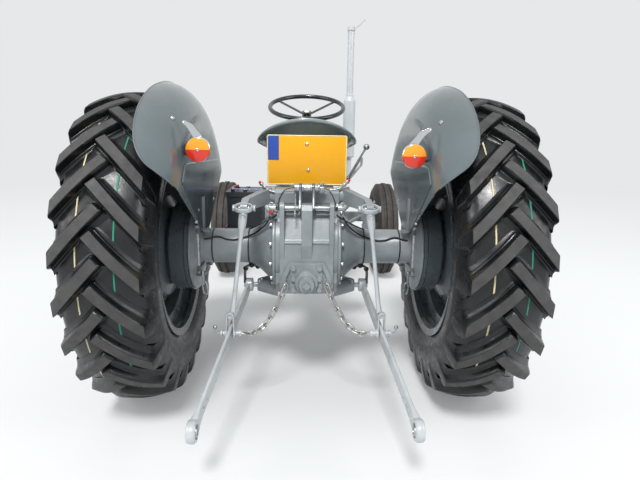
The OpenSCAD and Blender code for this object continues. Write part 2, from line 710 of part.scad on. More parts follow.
// Bonnet sheet that tips forward with the grille, as one thin shell over its sections.
// Columns: Y, half width, top, radius of the shoulders, height of the lower edge
bonnet_rows = [
    [bonnet_back, bonnet_w / 2 - 2, bonnet_top - 12, 84, skirt_z],
    [bonnet_back + 260, bonnet_w / 2, bonnet_top - 8, 88, skirt_z],
    [bonnet_front - 330, bonnet_w / 2 - 3, bonnet_top - 12, 90, skirt_z],
    [bonnet_front - 204, bonnet_w / 2 - 10, bonnet_top - 20, 92, skirt_z],
    [bonnet_front - 200, bonnet_w / 2 - 10, bonnet_top - 21, 92, nose_z],
    [bonnet_front - 130, bonnet_w / 2 - 17, bonnet_top - 30, 96, nose_z],
    [bonnet_front - 70, bonnet_w / 2 - 27, bonnet_top - 44, 102, nose_z],
    [bonnet_front - 25, bonnet_w / 2 - 40, bonnet_top - 62, 108, nose_z],
    [bonnet_front, bonnet_w / 2 - 54, bonnet_top - 82, 112, nose_z]];
// Half of a section from its lower edge over the shoulder to the middle, as [X, Z]
function hood_half(g, skin) =
    let (half = g[1] - skin, top = g[2] - skin, r = g[3] - skin, flat = half - r)
    concat([[half, g[4]]], [for (i = [0 : 6]) [flat + r * cos(15 * i), top - r + r * sin(15 * i)]],
        [for (k = [0.66, 0.33, 0]) [flat * k, top + crown_rise * (1 - k * k)]]);
function hood_section(g, skin) =
    let (half = hood_half(g, skin))
    concat(half, [for (i = [len(half) - 2 : -1 : 0]) [-half[i][0], half[i][1]]]);
module bonnet_shell() color(sheet_grey) place() {
    rows = [for (g = bonnet_rows) concat(hood_section(g, 0), reversed(hood_section(g, bonnet_t)))];
    shell(rows, [for (g = bonnet_rows) g[0]]);
}

// Thin shell through closed sections of [X, Z], each at its own Y
module shell(rows, places) {
    n = len(rows[0]);
    last = len(rows) - 1;
    points = [for (j = [0 : last]) for (p = rows[j]) [p[0], places[j], p[1]]];
    skins = [for (j = [0 : last - 1]) for (k = [0 : n - 1])
        let (p = n * j + k, q = n * j + (k + 1) % n)
        for (f = [[p, q + n, q], [p, p + n, q + n]]) f];
    cap = [for (k = [0 : n / 2 - 2]) for (f = [[k, n - 2 - k, n - 1 - k], [k, k + 1, n - 2 - k]]) f];
    far = [for (f = cap) [f[0] + n * last, f[2] + n * last, f[1] + n * last]];
    polyhedron(points, concat(skins, cap, far));
}

// Grille: a rounded frame with a centre strip and upright bars, and the bonnet's hinge ears
module grille() color(sheet_grey) place() {
    half = bonnet_rows[len(bonnet_rows) - 1][1];
    low = 620;
    high = bonnet_rows[len(bonnet_rows) - 1][2];
    depth = 40;
    rim = 30;
    front = bonnet_front + seat_gap + depth;
    rear_plate(front, depth) difference() {
        hood_outline(half, low, high, 112);
        hood_outline(half - rim, low + rim, high - rim, 112 - rim);
    }
    rear_plate(front + 8, 8) difference() {
        hood_outline(half - 6, low + 6, high - 6, 106);
        hood_outline(half - rim + 4, low + rim - 4, high - rim + 4, 116 - rim);
    }
    for (s = [-1, 1]) on_side(s) {
        block([112, hinge_yz[0] - 12, hinge_yz[1] - 12], [124, bonnet_front + 1, hinge_yz[1] + 12]);
        cross_bar(90, 124, hinge_r, hinge_yz[0], hinge_yz[1]);
    }
    pitch = 2 * (half - rim) / (grille_bars + 1);
    rear_plate(bonnet_front + 28, 14) intersection() {
        hood_outline(half - rim + 2, low + rim - 2, high - rim + 2, 114 - rim);
        for (i = [1 : grille_bars])
            translate([-half + rim + i * pitch - 3.5, low]) square([7, high - low]);
    }
    rear_plate(bonnet_front + 34, 24)
        translate([-9, low + rim - 2]) square([18, high - low - 2 * rim + 4]);
}

// Outline with round shoulders at the top and small round corners below, in X and Z
module hood_outline(half, low, high, r) {
    foot = min(r, 28);
    for (x = [-1, 1]) {
        translate([x * (half - r), high - r]) circle(r = r, $fn = tyre_fn);
        translate([x * (half - foot), low + foot]) circle(r = foot, $fn = tyre_fn);
    }
    translate([r - half, low]) square([2 * (half - r), high - low]);
    translate([-half, low + foot]) square([2 * half, high - r - low - foot]);
    translate([foot - half, low]) square([2 * (half - foot), high - r - low]);
}

// Fuel tank on the rocker cover, with its filler neck
module fuel_tank() color(sheet_grey) place() {
    top = bonnet_top - 44;
    rear_plate(engine_front - 160, engine_front - 1090)
        rounded([-150, rocker_top + seat_gap], [150, top], 40);
    translate([0, engine_back + 180, top - 10]) cylinder(r = 34, h = 24, $fn = round_fn);
}

// Dash panel under the bonnet's back edge, with two instruments and the column's hole
module dash_panel() color(sheet_grey) place() {
    low = steering_box_top + seat_gap;
    down = [0, sin(wheel_tilt), -cos(wheel_tilt)];
    difference() {
        union() {
            rear_plate(900, 34) hood_outline(205, low, bonnet_top - 14, 82);
            for (x = [-110, 110]) turned_back([x, 867, 1015],
                [[0, 0], [36, 0], [36, 8], [30, 12], [30, 9], [0, 9]]);
        }
        bar(wheel_centre + down * 60, wheel_centre + down * 440, 22 + seat_gap);
        block([-60, 860, low - 1], [60, 905, 932]);
    }
}

// Upright exhaust beside the bonnet: elbow from the manifold, silencer, tail pipe and flap
module exhaust_stack() color(silver_paint) place() {
    s = silencer_d / 2;
    t = tail_d / 2;
    elbow = 64;
    low = manifold_z - 60;
    start = engine_w / 2 + seat_gap;
    translate([stack_x, stack_y, 0]) {
        rotate_extrude($fn = tyre_fn) polygon([[0, 920], [t + 3, 920], [t + 3, 930], [s - 3, 936], [s, 942],
            [s, 1312], [s - 3, 1320], [t + 4, 1342], [t + 4, 1356], [t, 1360], [t, stack_top],
            [0, stack_top]]);
        translate([0, 0, low + elbow]) cylinder(r = t, h = 920 - low - elbow, $fn = round_fn);
        translate([-elbow, 0, low + elbow]) rotate([90, 0, 0]) rotate_extrude(angle = -90, $fn = 64)
            translate([elbow, 0]) circle(r = t, $fn = round_fn);
        translate([0, 0, stack_top - 26]) cylinder(r = t + 4, h = 12, $fn = round_fn);
    }
    cross_bar(start, stack_x - elbow, t, stack_y, low);
    cross_bar(start, start + 10, t + 12, stack_y, low);
    translate([stack_x + t, stack_y, stack_top - 20]) rotate([0, -42, 0])
        translate([-2, -24, 0]) cube([96, 48, 3]);
    translate([stack_x + t, stack_y, stack_top - 20]) rotate([90, 0, 0])
        translate([0, 0, -26]) cylinder(r = 6, h = 52, $fn = round_fn);
}

// Battery in its tray beside the gearbox, with cell caps and terminal posts
module battery() color(plastic_black) place() {
    block([-398, 402, 600], [-227, 638, 790]);
    block([-404, 396, 782], [-221, 644, 806]);
    for (y = [440 : 32 : 600]) translate([-312, y, 804]) cylinder(r = 10, h = 8, $fn = round_fn);
    for (y = [430, 610]) translate([-372, y, 804]) cylinder(r1 = 11, r2 = 8, h = 16, $fn = round_fn);
    block([-410, 390, 588], [-215, 650, 600]);
    for (y = [390, 644]) block([-410, y, 588], [-215, y + 6, 628]);
    for (x = [-410, -221]) block([x, 390, 588], [x + 6, 650, 628]);
    block([-240, 490, 560], [-gearbox_w / 2 + 14 - seat_gap, 560, 588.5]);
}

// Seat: a pressed pan with a high back and a rolled rim, on a bent flat bar.
// Its rim stands rim_rise(a) above the floor, at an angle round it from the right side
function rim_rise(a) = sin(a) < 0 ? side_rise + (seat_top - seat_floor - side_rise) * pow(-sin(a), 1.4)
    : side_rise + (front_rise - side_rise) * pow(sin(a), 1.5);
// Rings from the middle out over the rolled rim and back under the pan.
// Columns: share of the way out, distance past the rim, height above the pan's face
seat_rings = [[0.2, 0, 0], [0.4, 0, 0], [0.58, 0, 0], [0.74, 0, 0], [0.87, 0, 0], [0.96, 0, 0], [1, 2, 3],
    [1, 9, 5], [1, 14, -1], [1, 13, -10], [1, 6, -13], [0.97, 0, -seat_t - 3], [0.87, 0, -seat_t],
    [0.74, 0, -seat_t], [0.58, 0, -seat_t], [0.4, 0, -seat_t], [0.2, 0, -seat_t]];
module seat() color(sheet_grey) place() {
    steps = 32;
    rings = len(seat_rings);
    half = [seat_w / 2 - 14, seat_deep / 2];
    points = concat([for (g = seat_rings) for (i = [0 : steps - 1]) let (a = 360 * i / steps)
            [seat_mid[0] + (half[0] * g[0] + g[1]) * cos(a), seat_mid[1] + (half[1] * g[0] + g[1]) * sin(a),
             seat_floor + rim_rise(a) * pow(g[0], 3) + g[2]]],
        [[seat_mid[0], seat_mid[1], seat_floor], [seat_mid[0], seat_mid[1], seat_floor - seat_t]]);
    last = steps * (rings - 1);
    skins = [for (k = [0 : rings - 2]) for (i = [0 : steps - 1])
        let (p = k * steps + i, q = k * steps + (i + 1) % steps)
        for (f = [[p, q, q + steps], [p, q + steps, p + steps]]) f];
    ends = [for (i = [0 : steps - 1]) let (j = (i + 1) % steps)
        for (f = [[i, steps * rings, j], [last + j, steps * rings + 1, last + i]]) f];
    polyhedron(points, concat(skins, ends));
    foot = seat_pad_z + seat_gap;
    under = seat_floor - seat_t / 2;
    side_plate(-26, 26) polygon([[240, foot], [128, foot], [100, foot + 14], [92, foot + 38],
        [100, foot + 64], [128, under - 6], [160, under], [330, under], [330, under - 9],
        [162, under - 9], [133, under - 16],
        [108, foot + 60], [101, foot + 38], [107, foot + 20], [131, foot + 9], [240, foot + 9]]);
}

// Mudguard: a fan-shaped inner plate that rounds over into a crown, as one thick sheet
// Outer edge of the crown against the angle back from upright: [angle, X past the inner plate]
guard_edge = [[-57, 10], [-54, 50], [-50, 100], [-40, 152], [-20, 186], [0, 200], [20, 190],
    [31, 182], [40, 166], [47, 145], [51, 122], [55, 60], [57, 10]];
// Lowest radius of the inner plate at an angle back from upright
function guard_low_r(a) = min(plate_r - 1, max(edge_gap / sin(90.5 - abs(a) - guard_low),
    guard_foot / cos(a)));
// Point of the arch at an angle up from the plate, for the outer or the inner skin
function guard_arc(turn, skin) =
    [guard_x + guard_arch - (guard_arch - skin) * cos(turn),
     plate_r + (guard_r - plate_r - skin) * sin(turn)];
// The same for a whole section whose outer edge lies reach past the plate
function guard_section(reach, skin) =
    let (share = min(1, reach / guard_arch), top = acos(1 - share), past = max(0, reach - guard_arch))
    concat([for (i = [0 : 7]) guard_arc(top * i / 7, skin)],
        [past > 0 ? guard_arc(90, skin) + [past, -0.1 * past] : guard_arc(top + 2, skin)]);
module mudguard(side) color(sheet_grey) place() on_side(side) {
    rows = [for (g = guard_edge) concat([[guard_x, guard_low_r(g[0])]],
        guard_section(g[1], 0), reversed(guard_section(g[1], guard_t)),
        [[guard_x + guard_t, guard_low_r(g[0])]])];
    n = len(rows[0]);
    points = [for (j = [0 : len(rows) - 1]) for (p = rows[j])
        let (a = guard_edge[j][0])
        [p[0], -p[1] * sin(a), rear_z + p[1] * cos(a)]];
    last = len(rows) - 1;
    skins = [for (j = [0 : last - 1]) for (k = [0 : n - 1])
        let (p = n * j + k, q = n * j + (k + 1) % n)
        for (f = [[p, q, q + n], [p, q + n, p + n]]) f];
    cap0 = [for (k = [0 : n / 2 - 2]) for (f = [[k, n - 1 - k, n - 2 - k], [k, n - 2 - k, k + 1]]) f];
    cap1 = [for (f = cap0) [f[0] + n * last, f[2] + n * last, f[1] + n * last]];
    polyhedron(points, concat(skins, cap0, cap1));
}

// Footrests with raised treads, and the clutch and brake pedals beside the gearbox
module footrests() color(cast_grey) place() {
    wall = gearbox_w / 2 - 14 + seat_gap;
    for (s = [-1, 1]) on_side(s) {
        block([wall, 560, 478], [350, 606, 494]);
        block([wall, 560, 490], [wall + 14, 606, 534]);
        block([178, 520, 492], [352, 700, 500]);
        for (x = [190 : 26 : 346]) block([x, 526, 499], [x + 8, 694, 504]);
        block([344, 520, 492], [352, 700, 520]);
        cross_bar(wall, 160, 16, 602, 560);
        bar([150, 602, 560], [172, 700, 620], 9);
        translate([172, 700, 620]) knob(12);
        bar([172, 700, 620], [184, 773, 652], 8);
        translate([184, 770, 648]) rotate([-35, 0, 0]) block([-30, -24, -2], [30, 24, 12]);
    }
}

// Round knob, a turned ball with small flats at its ends
module knob(r) {
    side = [for (a = [-70 : 20 : 70]) [r * cos(a), r * sin(a)]];
    rotate_extrude($fn = round_fn) polygon(concat([[0, -r * 0.94]], side, [[0, r * 0.94]]));
}

// Gear lever, and the lift's control lever with its slotted quadrant plate
module controls() color(bright_steel) place() {
    gear = [0, 480, lid_top + seat_gap];
    translate(gear) cylinder(r1 = 30, r2 = 16, h = 34, $fn = round_fn);
    bar(gear + [0, 0, 20], gear + [0, 30, 70], 7);
    translate(gear + [0, 30, 70]) knob(9);
    bar(gear + [0, 30, 70], [0, 570, 956], 6);
    translate([0, 570, 956]) knob(17);
    foot = [100, 300, cover_flange + seat_gap];
    bend = [199, 300, 891];
    grip = [283, 300, 1039];
    rear_plate(foot[1] + 7, 14) rounded([foot[0] - 8, foot[2]], [foot[0] + 22, foot[2] + 56], 6);
    bar(foot + [12, 0, 44], bend, 7);
    translate(bend) knob(10);
    bar(bend, grip, 5);
    translate(grip) knob(15);
    rear_plate(302, 4) difference() {
        polygon([[192, 884], [206, 880], [266, 952], [268, 988], [256, 992]]);
        polygon([[228, 922], [256, 956], [256, 972]]);
    }
}

// Blank number plate with rounded corners, held to the seat's bar by a tab
module number_plate() color(plate_yellow) place() {
    rear_plate(49, 3)
        rounded([-plate_w / 2, plate_z - plate_h / 2], [plate_w / 2, plate_z + plate_h / 2], 9);
    block([-24, 49, 900], [24, 92 - seat_gap, 928]);
}

// Rear lamps: a body with a rim and a domed lens, on an angled bracket to the mudguard
module rear_lamps() color(lamp_red) place() {
    r = lamp_d / 2;
    for (s = [-1, 1]) on_side(s) {
        turned_back([lamp_x, lamp_y, lamp_z], [[0, 0], [r - 10, 0], [r - 4, 6], [r - 2, 24], [r, 26],
            [r, 34], [r - 3, 38], [r * 0.7, 46], [r * 0.36, 50], [0, 51]]);
        block([lamp_x, lamp_y - 2, lamp_z - 16], [guard_x - seat_gap, lamp_y + 4, lamp_z + 16]);
        block([guard_x - 4, lamp_y - 2, lamp_z - 16], [guard_x - seat_gap, lamp_y + 40, lamp_z + 16]);
    }
}

// Cap over the power take-off on its bolted flange, in the horseshoe plate whose pins carry
// the check chains
module pto_cap() color(cast_grey) place() {
    rear_plate(plate_y, 12) rounded([-64, 468], [64, 590], 14);
    rear_plate(plate_y, 9) {
        polygon([[-70, 574], [-70, 596], [70, 596], [70, 574]]);
        for (s = [-1, 1]) on_side(s) polygon([[58, 596], [70, 596], [101, 536], [101, 514], [92, 492],
            [76, 490], [70, 502], [82, 520], [80, 536], [62, 574]]);
    }
    for (x = [-52, 52]) for (z = [484, 530, 574]) translate([x, plate_y - 12, z])
        rotate([90, 0, 0]) cylinder(r = 11, h = 9, $fn = 6);
    turned_back([0, plate_y - 12, pto_z],
        [[0, -1], [48, -1], [48, 6], [44, 16], [34, 20], [34, 34], [30, 46], [0, 48]]);
    translate([0, plate_y - 58, pto_z]) rotate([0, 45, 0]) cube([24, 30, 24], center = true);
    for (s = [-1, 1]) on_side(s) translate(chain_pin) rotate([90, 0, 0])
        cylinder(r = 3.5, h = 36, $fn = round_fn);
}

// Top link bracket: two rocker plates beside the centre rib on the cross pins, and the sleeve
// that takes the top link between them
module top_link_yoke() color(bright_steel) place() {
    for (s = [-1, 1]) on_side(s) {
        hull() {
            cross_bar(21 + seat_gap, 31, 13, rocker_pin[0], rocker_pin[1]);
            cross_bar(21 + seat_gap, 31, 19, sleeve_yz[0], sleeve_yz[1]);
        }
        cross_bar(30, ear_x - 9 - seat_gap, 8, rocker_pin[0], rocker_pin[1]);
        cross_bar(ear_x + 9 + seat_gap, ear_x + 26, 11, rocker_pin[0], rocker_pin[1]);
    }
    cross_bar(-48, 48, 15, sleeve_yz[0], sleeve_yz[1]);
    for (x = [-50, 42]) cross_bar(x, x + 8, 18, sleeve_yz[0], sleeve_yz[1]);
    cross_bar(40, 68, 8, sleeve_yz[0], sleeve_yz[1]);
}

// One chain link lying along X in the XY plane
module chain_link(pitch, wire) {
    bend = wire * 1.35;
    straight = pitch / 2 + wire / 2 - bend;
    translate([0, 0, -wire / 2]) linear_extrude(wire) difference() {
        link_outline(straight, bend + wire / 2);
        link_outline(straight, bend - wire / 2);
    }
}
module link_outline(straight, r) {
    for (s = [-1, 1]) translate([s * straight, 0]) circle(r = r, $fn = 18);
    square([2 * straight, 2 * r], center = true);
}

module check_chain(pin, to) {
    // The first link hangs on the pin, so its line starts a little inside the pin
    ahead = to - pin - [0, 0, 4 * chain_sag * (1 - 1 / chain_links)];
    start = pin - ahead / norm(ahead) * (chain_wire * 0.85 - 1.5);
    function on(t) = start + (to - start) * t - [0, 0, 4 * chain_sag * t * (1 - t)];
    for (i = [0 : chain_links - 1]) {
        a = on(i / chain_links);
        b = on((i + 1) / chain_links);
        d = b - a;
        translate((a + b) / 2)
            rotate([0, -asin(d[2] / norm(d)), atan2(d[1], d[0])])
            rotate([90 * ((i + 1) % 2), 0, 0]) chain_link(norm(d) + 3, chain_wire);
    }
}

module check_chains() color(bright_steel) place() {
    for (s = [-1, 1]) on_side(s)
        check_chain(chain_pin - [0, 26, 0], [rod_pin[0] - 45, rod_pin[1], rod_pin[2]]);
}

// Lift arms: forged arms that splay out from the cross shaft and end in an eye
module lift_arms() color(cast_grey) place() {
    cross_bar(-lift_half - 46, lift_half + 46, cross_shaft_r, shaft_yz[0], shaft_yz[1]);
    for (s = [-1, 1]) on_side(s) {
        cross_bar(lift_half + seat_gap, lift_half + 46, 38, shaft_yz[0], shaft_yz[1]);
        knee = [arm_eye[0], arm_eye[1] + 62, arm_eye[2] + 6];
        strut([lift_half + 25, shaft_yz[0] - 18, shaft_yz[1]], knee, [32, 66], [28, 46]);
        strut(knee, [arm_eye[0], arm_eye[1] + 14, arm_eye[2] + 2], [28, 46], [28, 38]);
        difference() {
            cross_bar(arm_eye[0] - 14, arm_eye[0] + 14, 22, arm_eye[1], arm_eye[2]);
            cross_bar(arm_eye[0] - 15, arm_eye[0] + 15, eye_pin_r + run_fit, arm_eye[1], arm_eye[2]);
        }
    }
}

// Lift rod: a stirrup round the lift arm's eye, a bolted forging that tapers to the rod, and
// a slotted fork round the lower link, with a pin on each side of it
module lift_rod(side) color(bright_steel) place() on_side(side) {
    top = arm_eye;
    low = rod_pin;
    inner = 28;
    outer = 35;
    cross_bar(top[0] - outer - 5, top[0] + outer + 5, eye_pin_r, top[1], top[2]);
    translate([top[0], top[1], top[2] - 12]) linear_extrude(24) difference() {
        union() {
            circle(r = outer, $fn = tyre_fn);
            translate([-outer, 0]) square([2 * outer, 14]);
        }
        circle(r = inner, $fn = tyre_fn);
        translate([-inner, 0]) square([2 * inner, 40]);
    }
    block([top[0] - 13, top[1] - 36, top[2] - 44], [top[0] + 13, top[1] - 28, top[2] + 4]);
    turned_back([top[0], top[1] - 16, top[2] - 34],
        [[0, 0], [15, 0], [15, 24], [10, 26], [10, 31], [0, 32]]);
    neck = [top[0], top[1] - 26, top[2] - 88];
    translate(neck) cylinder(r1 = 10, r2 = 15, h = 58, $fn = round_fn);
    bar(neck + [0, 0, 4], [low[0], low[1], low[2] + 96], rod_d / 2);
    rear_plate(low[1] + 15, 30) translate([low[0], low[2]]) difference() {
        union() {
            translate([-22, 0]) square([44, 62]);
            translate([0, 62]) circle(r = 22, $fn = tyre_fn);
            polygon([[-16, 76], [16, 76], [11, 108], [-11, 108]]);
        }
        translate([-12, -1]) square([24, 57]);
        translate([0, 56]) circle(r = 12, $fn = round_fn);
    }
    for (x = [-22, 12]) cross_bar(low[0] + x, low[0] + x + 10, 18, low[1], low[2]);
    cross_bar(low[0] - 30, low[0] - link_t / 2 - 3, 10, low[1], low[2]);
    cross_bar(low[0] + link_t / 2 + 3, low[0] + 30, 10, low[1], low[2]);
}

module lower_link(side) color(bright_steel) place() on_side(side) {
    p = [pivot_x, pivot_yz[0], pivot_yz[1]];
    difference() {
        cross_bar(p[0] - 16, p[0] + 16, 30, p[1], p[2]);
        cross_bar(p[0] - 17, p[0] + 17, pivot_pin_r + run_fit, p[1], p[2]);
    }
    along = (ball - p) / norm(ball - p);
    strut(p + along * 27, ball - along * 34, [link_t, 56], [link_t, 50]);
    difference() {
        cross_bar(ball[0] - 14, ball[0] + 14, ball_eye_r, ball[1], ball[2]);
        cross_bar(ball[0] - 15, ball[0] + 15, ball_r + seat_gap, ball[1], ball[2]);
    }
    translate(ball) spin_x(concat([[ball_bore / 2, 17.5]], side_arc(0, 0, ball_r, ball_r, 37, 143, 8),
        [[ball_bore / 2, -17.5]]));
}

// Black wiring held along the axle tubes, as a tube swept along points just above the castings.
// Columns: distance from the middle, angle back from the top of the casting
wiring_route = [[424, 58], [404, 56], [384, 50], [360, 50], [335, 57], [305, 60], [288, 58], [276, 56],
    [264, 53], [250, 50], [240, 49], [230, 48], [208, 46], [186, 44], [166, 40], [148, 34]];
// Highest casting surface within a wire's reach of a place along the axle
function surface_near(x) = max([for (step = [-2, -1, 0, 1, 2]) bell_surface(x + step * wiring_d)]);
module axle_wiring() color(plastic_black) place() {
    sides = 8;
    points = [for (w = wiring_route) let (r = surface_near(w[0]) + wiring_d / 2 + 0.8)
        [w[0], -r * sin(w[1]), rear_z + r * cos(w[1])]];
    last = len(points) - 1;
    rings = [for (i = [0 : last])
        let (ahead = points[min(i + 1, last)] - points[max(i - 1, 0)], way = ahead / norm(ahead),
             over = cross(way, [0, 0, 1]), u = over / norm(over), v = cross(u, way))
        for (k = [0 : sides - 1]) let (a = 360 * k / sides)
            points[i] + (u * cos(a) + v * sin(a)) * wiring_d / 2];
    skins = [for (i = [0 : last - 1]) for (k = [0 : sides - 1])
        let (p = sides * i + k, q = sides * i + (k + 1) % sides)
        for (f = [[p, q, q + sides], [p, q + sides, p + sides]]) f];
    caps = [[for (k = [sides - 1 : -1 : 0]) k], [for (k = [0 : sides - 1]) sides * last + k]];
    for (s = [-1, 1]) on_side(s) polyhedron(rings, concat(skins, caps));
}

centre_housing();
lift_cover();
axle_tubes();
gearbox();
engine();
radiator();
front_axle();
fuel_tank();
dash_panel();
steering_column();
exhaust_stack();
battery();
seat();
mudguard_left();
mudguard_right();
footrests();
controls();
number_plate();
rear_lamps();
radius_rods();
pto_cap();
top_link_yoke();
check_chains();
axle_wiring();
bonnet_shell();
grille();
knuckle_left();
knuckle_right();
front_tyre_left();
front_tyre_right();
front_wheel_left();
front_wheel_right();
rear_tyre_left();
rear_tyre_right();
rear_wheel_left();
rear_wheel_right();
lift_arms();
lift_rod_left();
lift_rod_right();
lower_link_left();
lower_link_right();
drop_arm_left();
drop_arm_right();
drag_link_left();
drag_link_right();
steering_wheel();

// Left and right copies
module mudguard_left() mudguard(-1);
module mudguard_right() mudguard(1);
module knuckle_left() knuckle(-1);
module knuckle_right() knuckle(1);
module drop_arm_left() drop_arm(-1);
module drop_arm_right() drop_arm(1);
module drag_link_left() drag_link(-1);
module drag_link_right() drag_link(1);
module lift_rod_left() lift_rod(-1);
module lift_rod_right() lift_rod(1);
module lower_link_left() lower_link(-1);
module lower_link_right() lower_link(1);

// Wheels moved out to their tracks
module at_front(side) {
    place() translate([side * front_track / 2, wheelbase, front_z]) on_side(side) children();
}
module at_rear(side) place() translate([side * rear_track / 2, 0, rear_z]) on_side(side) children();
module front_tyre_left() color(tyre_black) at_front(-1) front_tyre();
module front_tyre_right() color(tyre_black) at_front(1) front_tyre();
module front_wheel_left() color(silver_paint) at_front(-1) front_wheel();
module front_wheel_right() color(silver_paint) at_front(1) front_wheel();
module rear_tyre_left() color(tyre_black) at_rear(-1) rear_tyre();
module rear_tyre_right() color(tyre_black) at_rear(1) rear_tyre();
module rear_wheel_left() color(silver_paint) at_rear(-1) rear_wheel();
module rear_wheel_right() color(silver_paint) at_rear(1) rear_wheel();
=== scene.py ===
"""Looks of the vintage tractor: paint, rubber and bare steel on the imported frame, with the
forms that only show as meshes. Metres; +X right, +Y forward, +Z up, as in the frame."""
import json
import math

import bmesh
import bpy
from mathutils import Matrix, Vector
from mathutils.bvhtree import BVHTree


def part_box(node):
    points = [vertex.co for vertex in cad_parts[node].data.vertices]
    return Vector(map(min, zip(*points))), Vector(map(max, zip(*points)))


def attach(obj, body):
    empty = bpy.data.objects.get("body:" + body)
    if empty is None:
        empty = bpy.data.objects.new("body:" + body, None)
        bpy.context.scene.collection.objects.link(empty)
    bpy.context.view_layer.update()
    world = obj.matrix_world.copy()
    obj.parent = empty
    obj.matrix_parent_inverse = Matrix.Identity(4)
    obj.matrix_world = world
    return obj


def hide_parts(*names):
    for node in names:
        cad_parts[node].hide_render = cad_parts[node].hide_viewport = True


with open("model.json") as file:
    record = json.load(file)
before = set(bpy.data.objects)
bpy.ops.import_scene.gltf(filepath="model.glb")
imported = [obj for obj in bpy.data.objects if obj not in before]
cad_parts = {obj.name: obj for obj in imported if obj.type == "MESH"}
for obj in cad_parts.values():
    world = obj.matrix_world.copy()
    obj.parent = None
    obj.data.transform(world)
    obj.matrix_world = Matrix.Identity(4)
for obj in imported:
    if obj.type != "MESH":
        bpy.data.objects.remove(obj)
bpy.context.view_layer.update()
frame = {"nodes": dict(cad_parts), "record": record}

MM = 0.001

# The rear axle's middle and the tyre's radius in metres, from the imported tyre; its height in mm
TYRE_LOW, TYRE_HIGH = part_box("rear_tyre_right")
REAR_X = (TYRE_LOW.x + TYRE_HIGH.x) / 2
REAR_Y = (TYRE_LOW.y + TYRE_HIGH.y) / 2
REAR_Z = (TYRE_LOW.z + TYRE_HIGH.z) / 2
REAR_R = TYRE_HIGH.z - REAR_Z
AXLE_Z = REAR_Z / MM


def at(x, y, z):
    """A point given in millimetres from the ground under the rear axle's middle."""
    return Vector((x * MM, REAR_Y + y * MM, z * MM))


# Materials

def linear(code):
    """An sRGB hex colour as linear red, green, blue and alpha."""
    parts = [int(code[i:i + 2], 16) / 255 for i in (1, 3, 5)]
    return [c / 12.92 if c <= 0.04045 else ((c + 0.055) / 1.055) ** 2.4 for c in parts] + [1.0]


def add(tree, kind, links=None, **settings):
    """Adds a node, sets its properties or inputs by name and links inputs to other sockets."""
    node = tree.nodes.new("ShaderNode" + kind)
    for name, value in settings.items():
        if hasattr(node, name):
            setattr(node, name, value)
        else:
            node.inputs[name.replace("_", " ")].default_value = value
    for name, socket in (links or {}).items():
        tree.links.new(socket, node.inputs[name])
    return node


def new_material(name):
    """A material: (material, node tree, shader, coordinates in metres on the piece)."""
    material = bpy.data.materials.new(name)
    material.use_nodes = True
    tree = material.node_tree
    return material, tree, tree.nodes["Principled BSDF"], add(tree, "TexCoord").outputs["Object"]


def noise(tree, coords, grain_mm, detail=4):
    """Soft noise from 0 to 1 with a grain of a real size."""
    return add(tree, "TexNoise", {"Vector": coords}, Scale=1 / (grain_mm * MM), Detail=detail).outputs["Fac"]


def blotches(tree, coords, dark, light, size_mm):
    """Two shades in soft blotches of a real size, as paint, rubber and metal age unevenly."""
    shades = add(tree, "ValToRGB", {"Fac": noise(tree, coords, size_mm)})
    for element, place, code in zip(shades.color_ramp.elements, (0.32, 0.68), (dark, light)):
        element.position = place
        element.color = linear(code)
    return shades.outputs["Color"]


def uneven_gloss(tree, shader, coords, low, high, size_mm):
    """Roughness that wanders between two values, so that highlights break up."""
    rough = add(tree, "MapRange", {"Value": noise(tree, coords, size_mm)}, From_Min=0.3, From_Max=0.7,
                To_Min=low, To_Max=high)
    tree.links.new(rough.outputs["Result"], shader.inputs["Roughness"])


def relief(tree, shader, coords, edge_mm, layers):
    """Softened edges with grain over them, in layers of (grain in mm, depth in mm)."""
    normal = add(tree, "Bevel", samples=4, Radius=edge_mm * MM).outputs["Normal"]
    for grain_mm, depth_mm in layers:
        normal = add(tree, "Bump", {"Height": noise(tree, coords, grain_mm), "Normal": normal},
                     Distance=depth_mm * MM).outputs["Normal"]
    tree.links.new(normal, shader.inputs["Normal"])


def overlaid(tree, base, over, mask):
    """One colour laid over another where the mask is high."""
    mixed = add(tree, "Mix", data_type="RGBA")
    tree.links.new(mask, mixed.inputs["Factor"])
    tree.links.new(base, mixed.inputs[6])
    mixed.inputs[7].default_value = linear(over)
    return mixed.outputs[2]


def settled_dust(tree, coords, base, share):
    """Grey dust in patches on the surfaces that face up."""
    up = add(tree, "SeparateXYZ", {"Vector": add(tree, "NewGeometry").outputs["Normal"]}).outputs["Z"]
    film = add(tree, "MapRange", {"Value": up}, From_Min=0.5, To_Max=share).outputs["Result"]
    patches = add(tree, "Math", {0: film, 1: noise(tree, coords, 34, 5)}, operation="MULTIPLY")
    return overlaid(tree, base, "#8f8b82", patches.outputs[0])


def surface(name, colour, gloss, gloss_mm, edge_mm, layers, **values):
    """A material from a function for its colour, a range of roughness, its relief and plain inputs."""
    material, tree, shader, coords = new_material(name)
    tree.links.new(colour(tree, coords), shader.inputs["Base Color"])
    uneven_gloss(tree, shader, coords, *gloss, gloss_mm)
    relief(tree, shader, coords, edge_mm, layers)
    for key, value in values.items():
        shader.inputs[key.replace("_", " ")].default_value = value
    return material


def enamel(name, dark, light, blotch_mm, gloss, edge_mm=1.5):
    """Sprayed enamel on steel: close shades, orange peel and a thin film of dust."""
    def paint(tree, coords):
        return settled_dust(tree, coords, blotches(tree, coords, dark, light, blotch_mm), 0.3)
    return surface(name, paint, (gloss - 0.05, gloss + 0.08), 60, edge_mm, [(3.0, 0.12)],
                   Coat_Weight=0.35, Coat_Roughness=0.12)


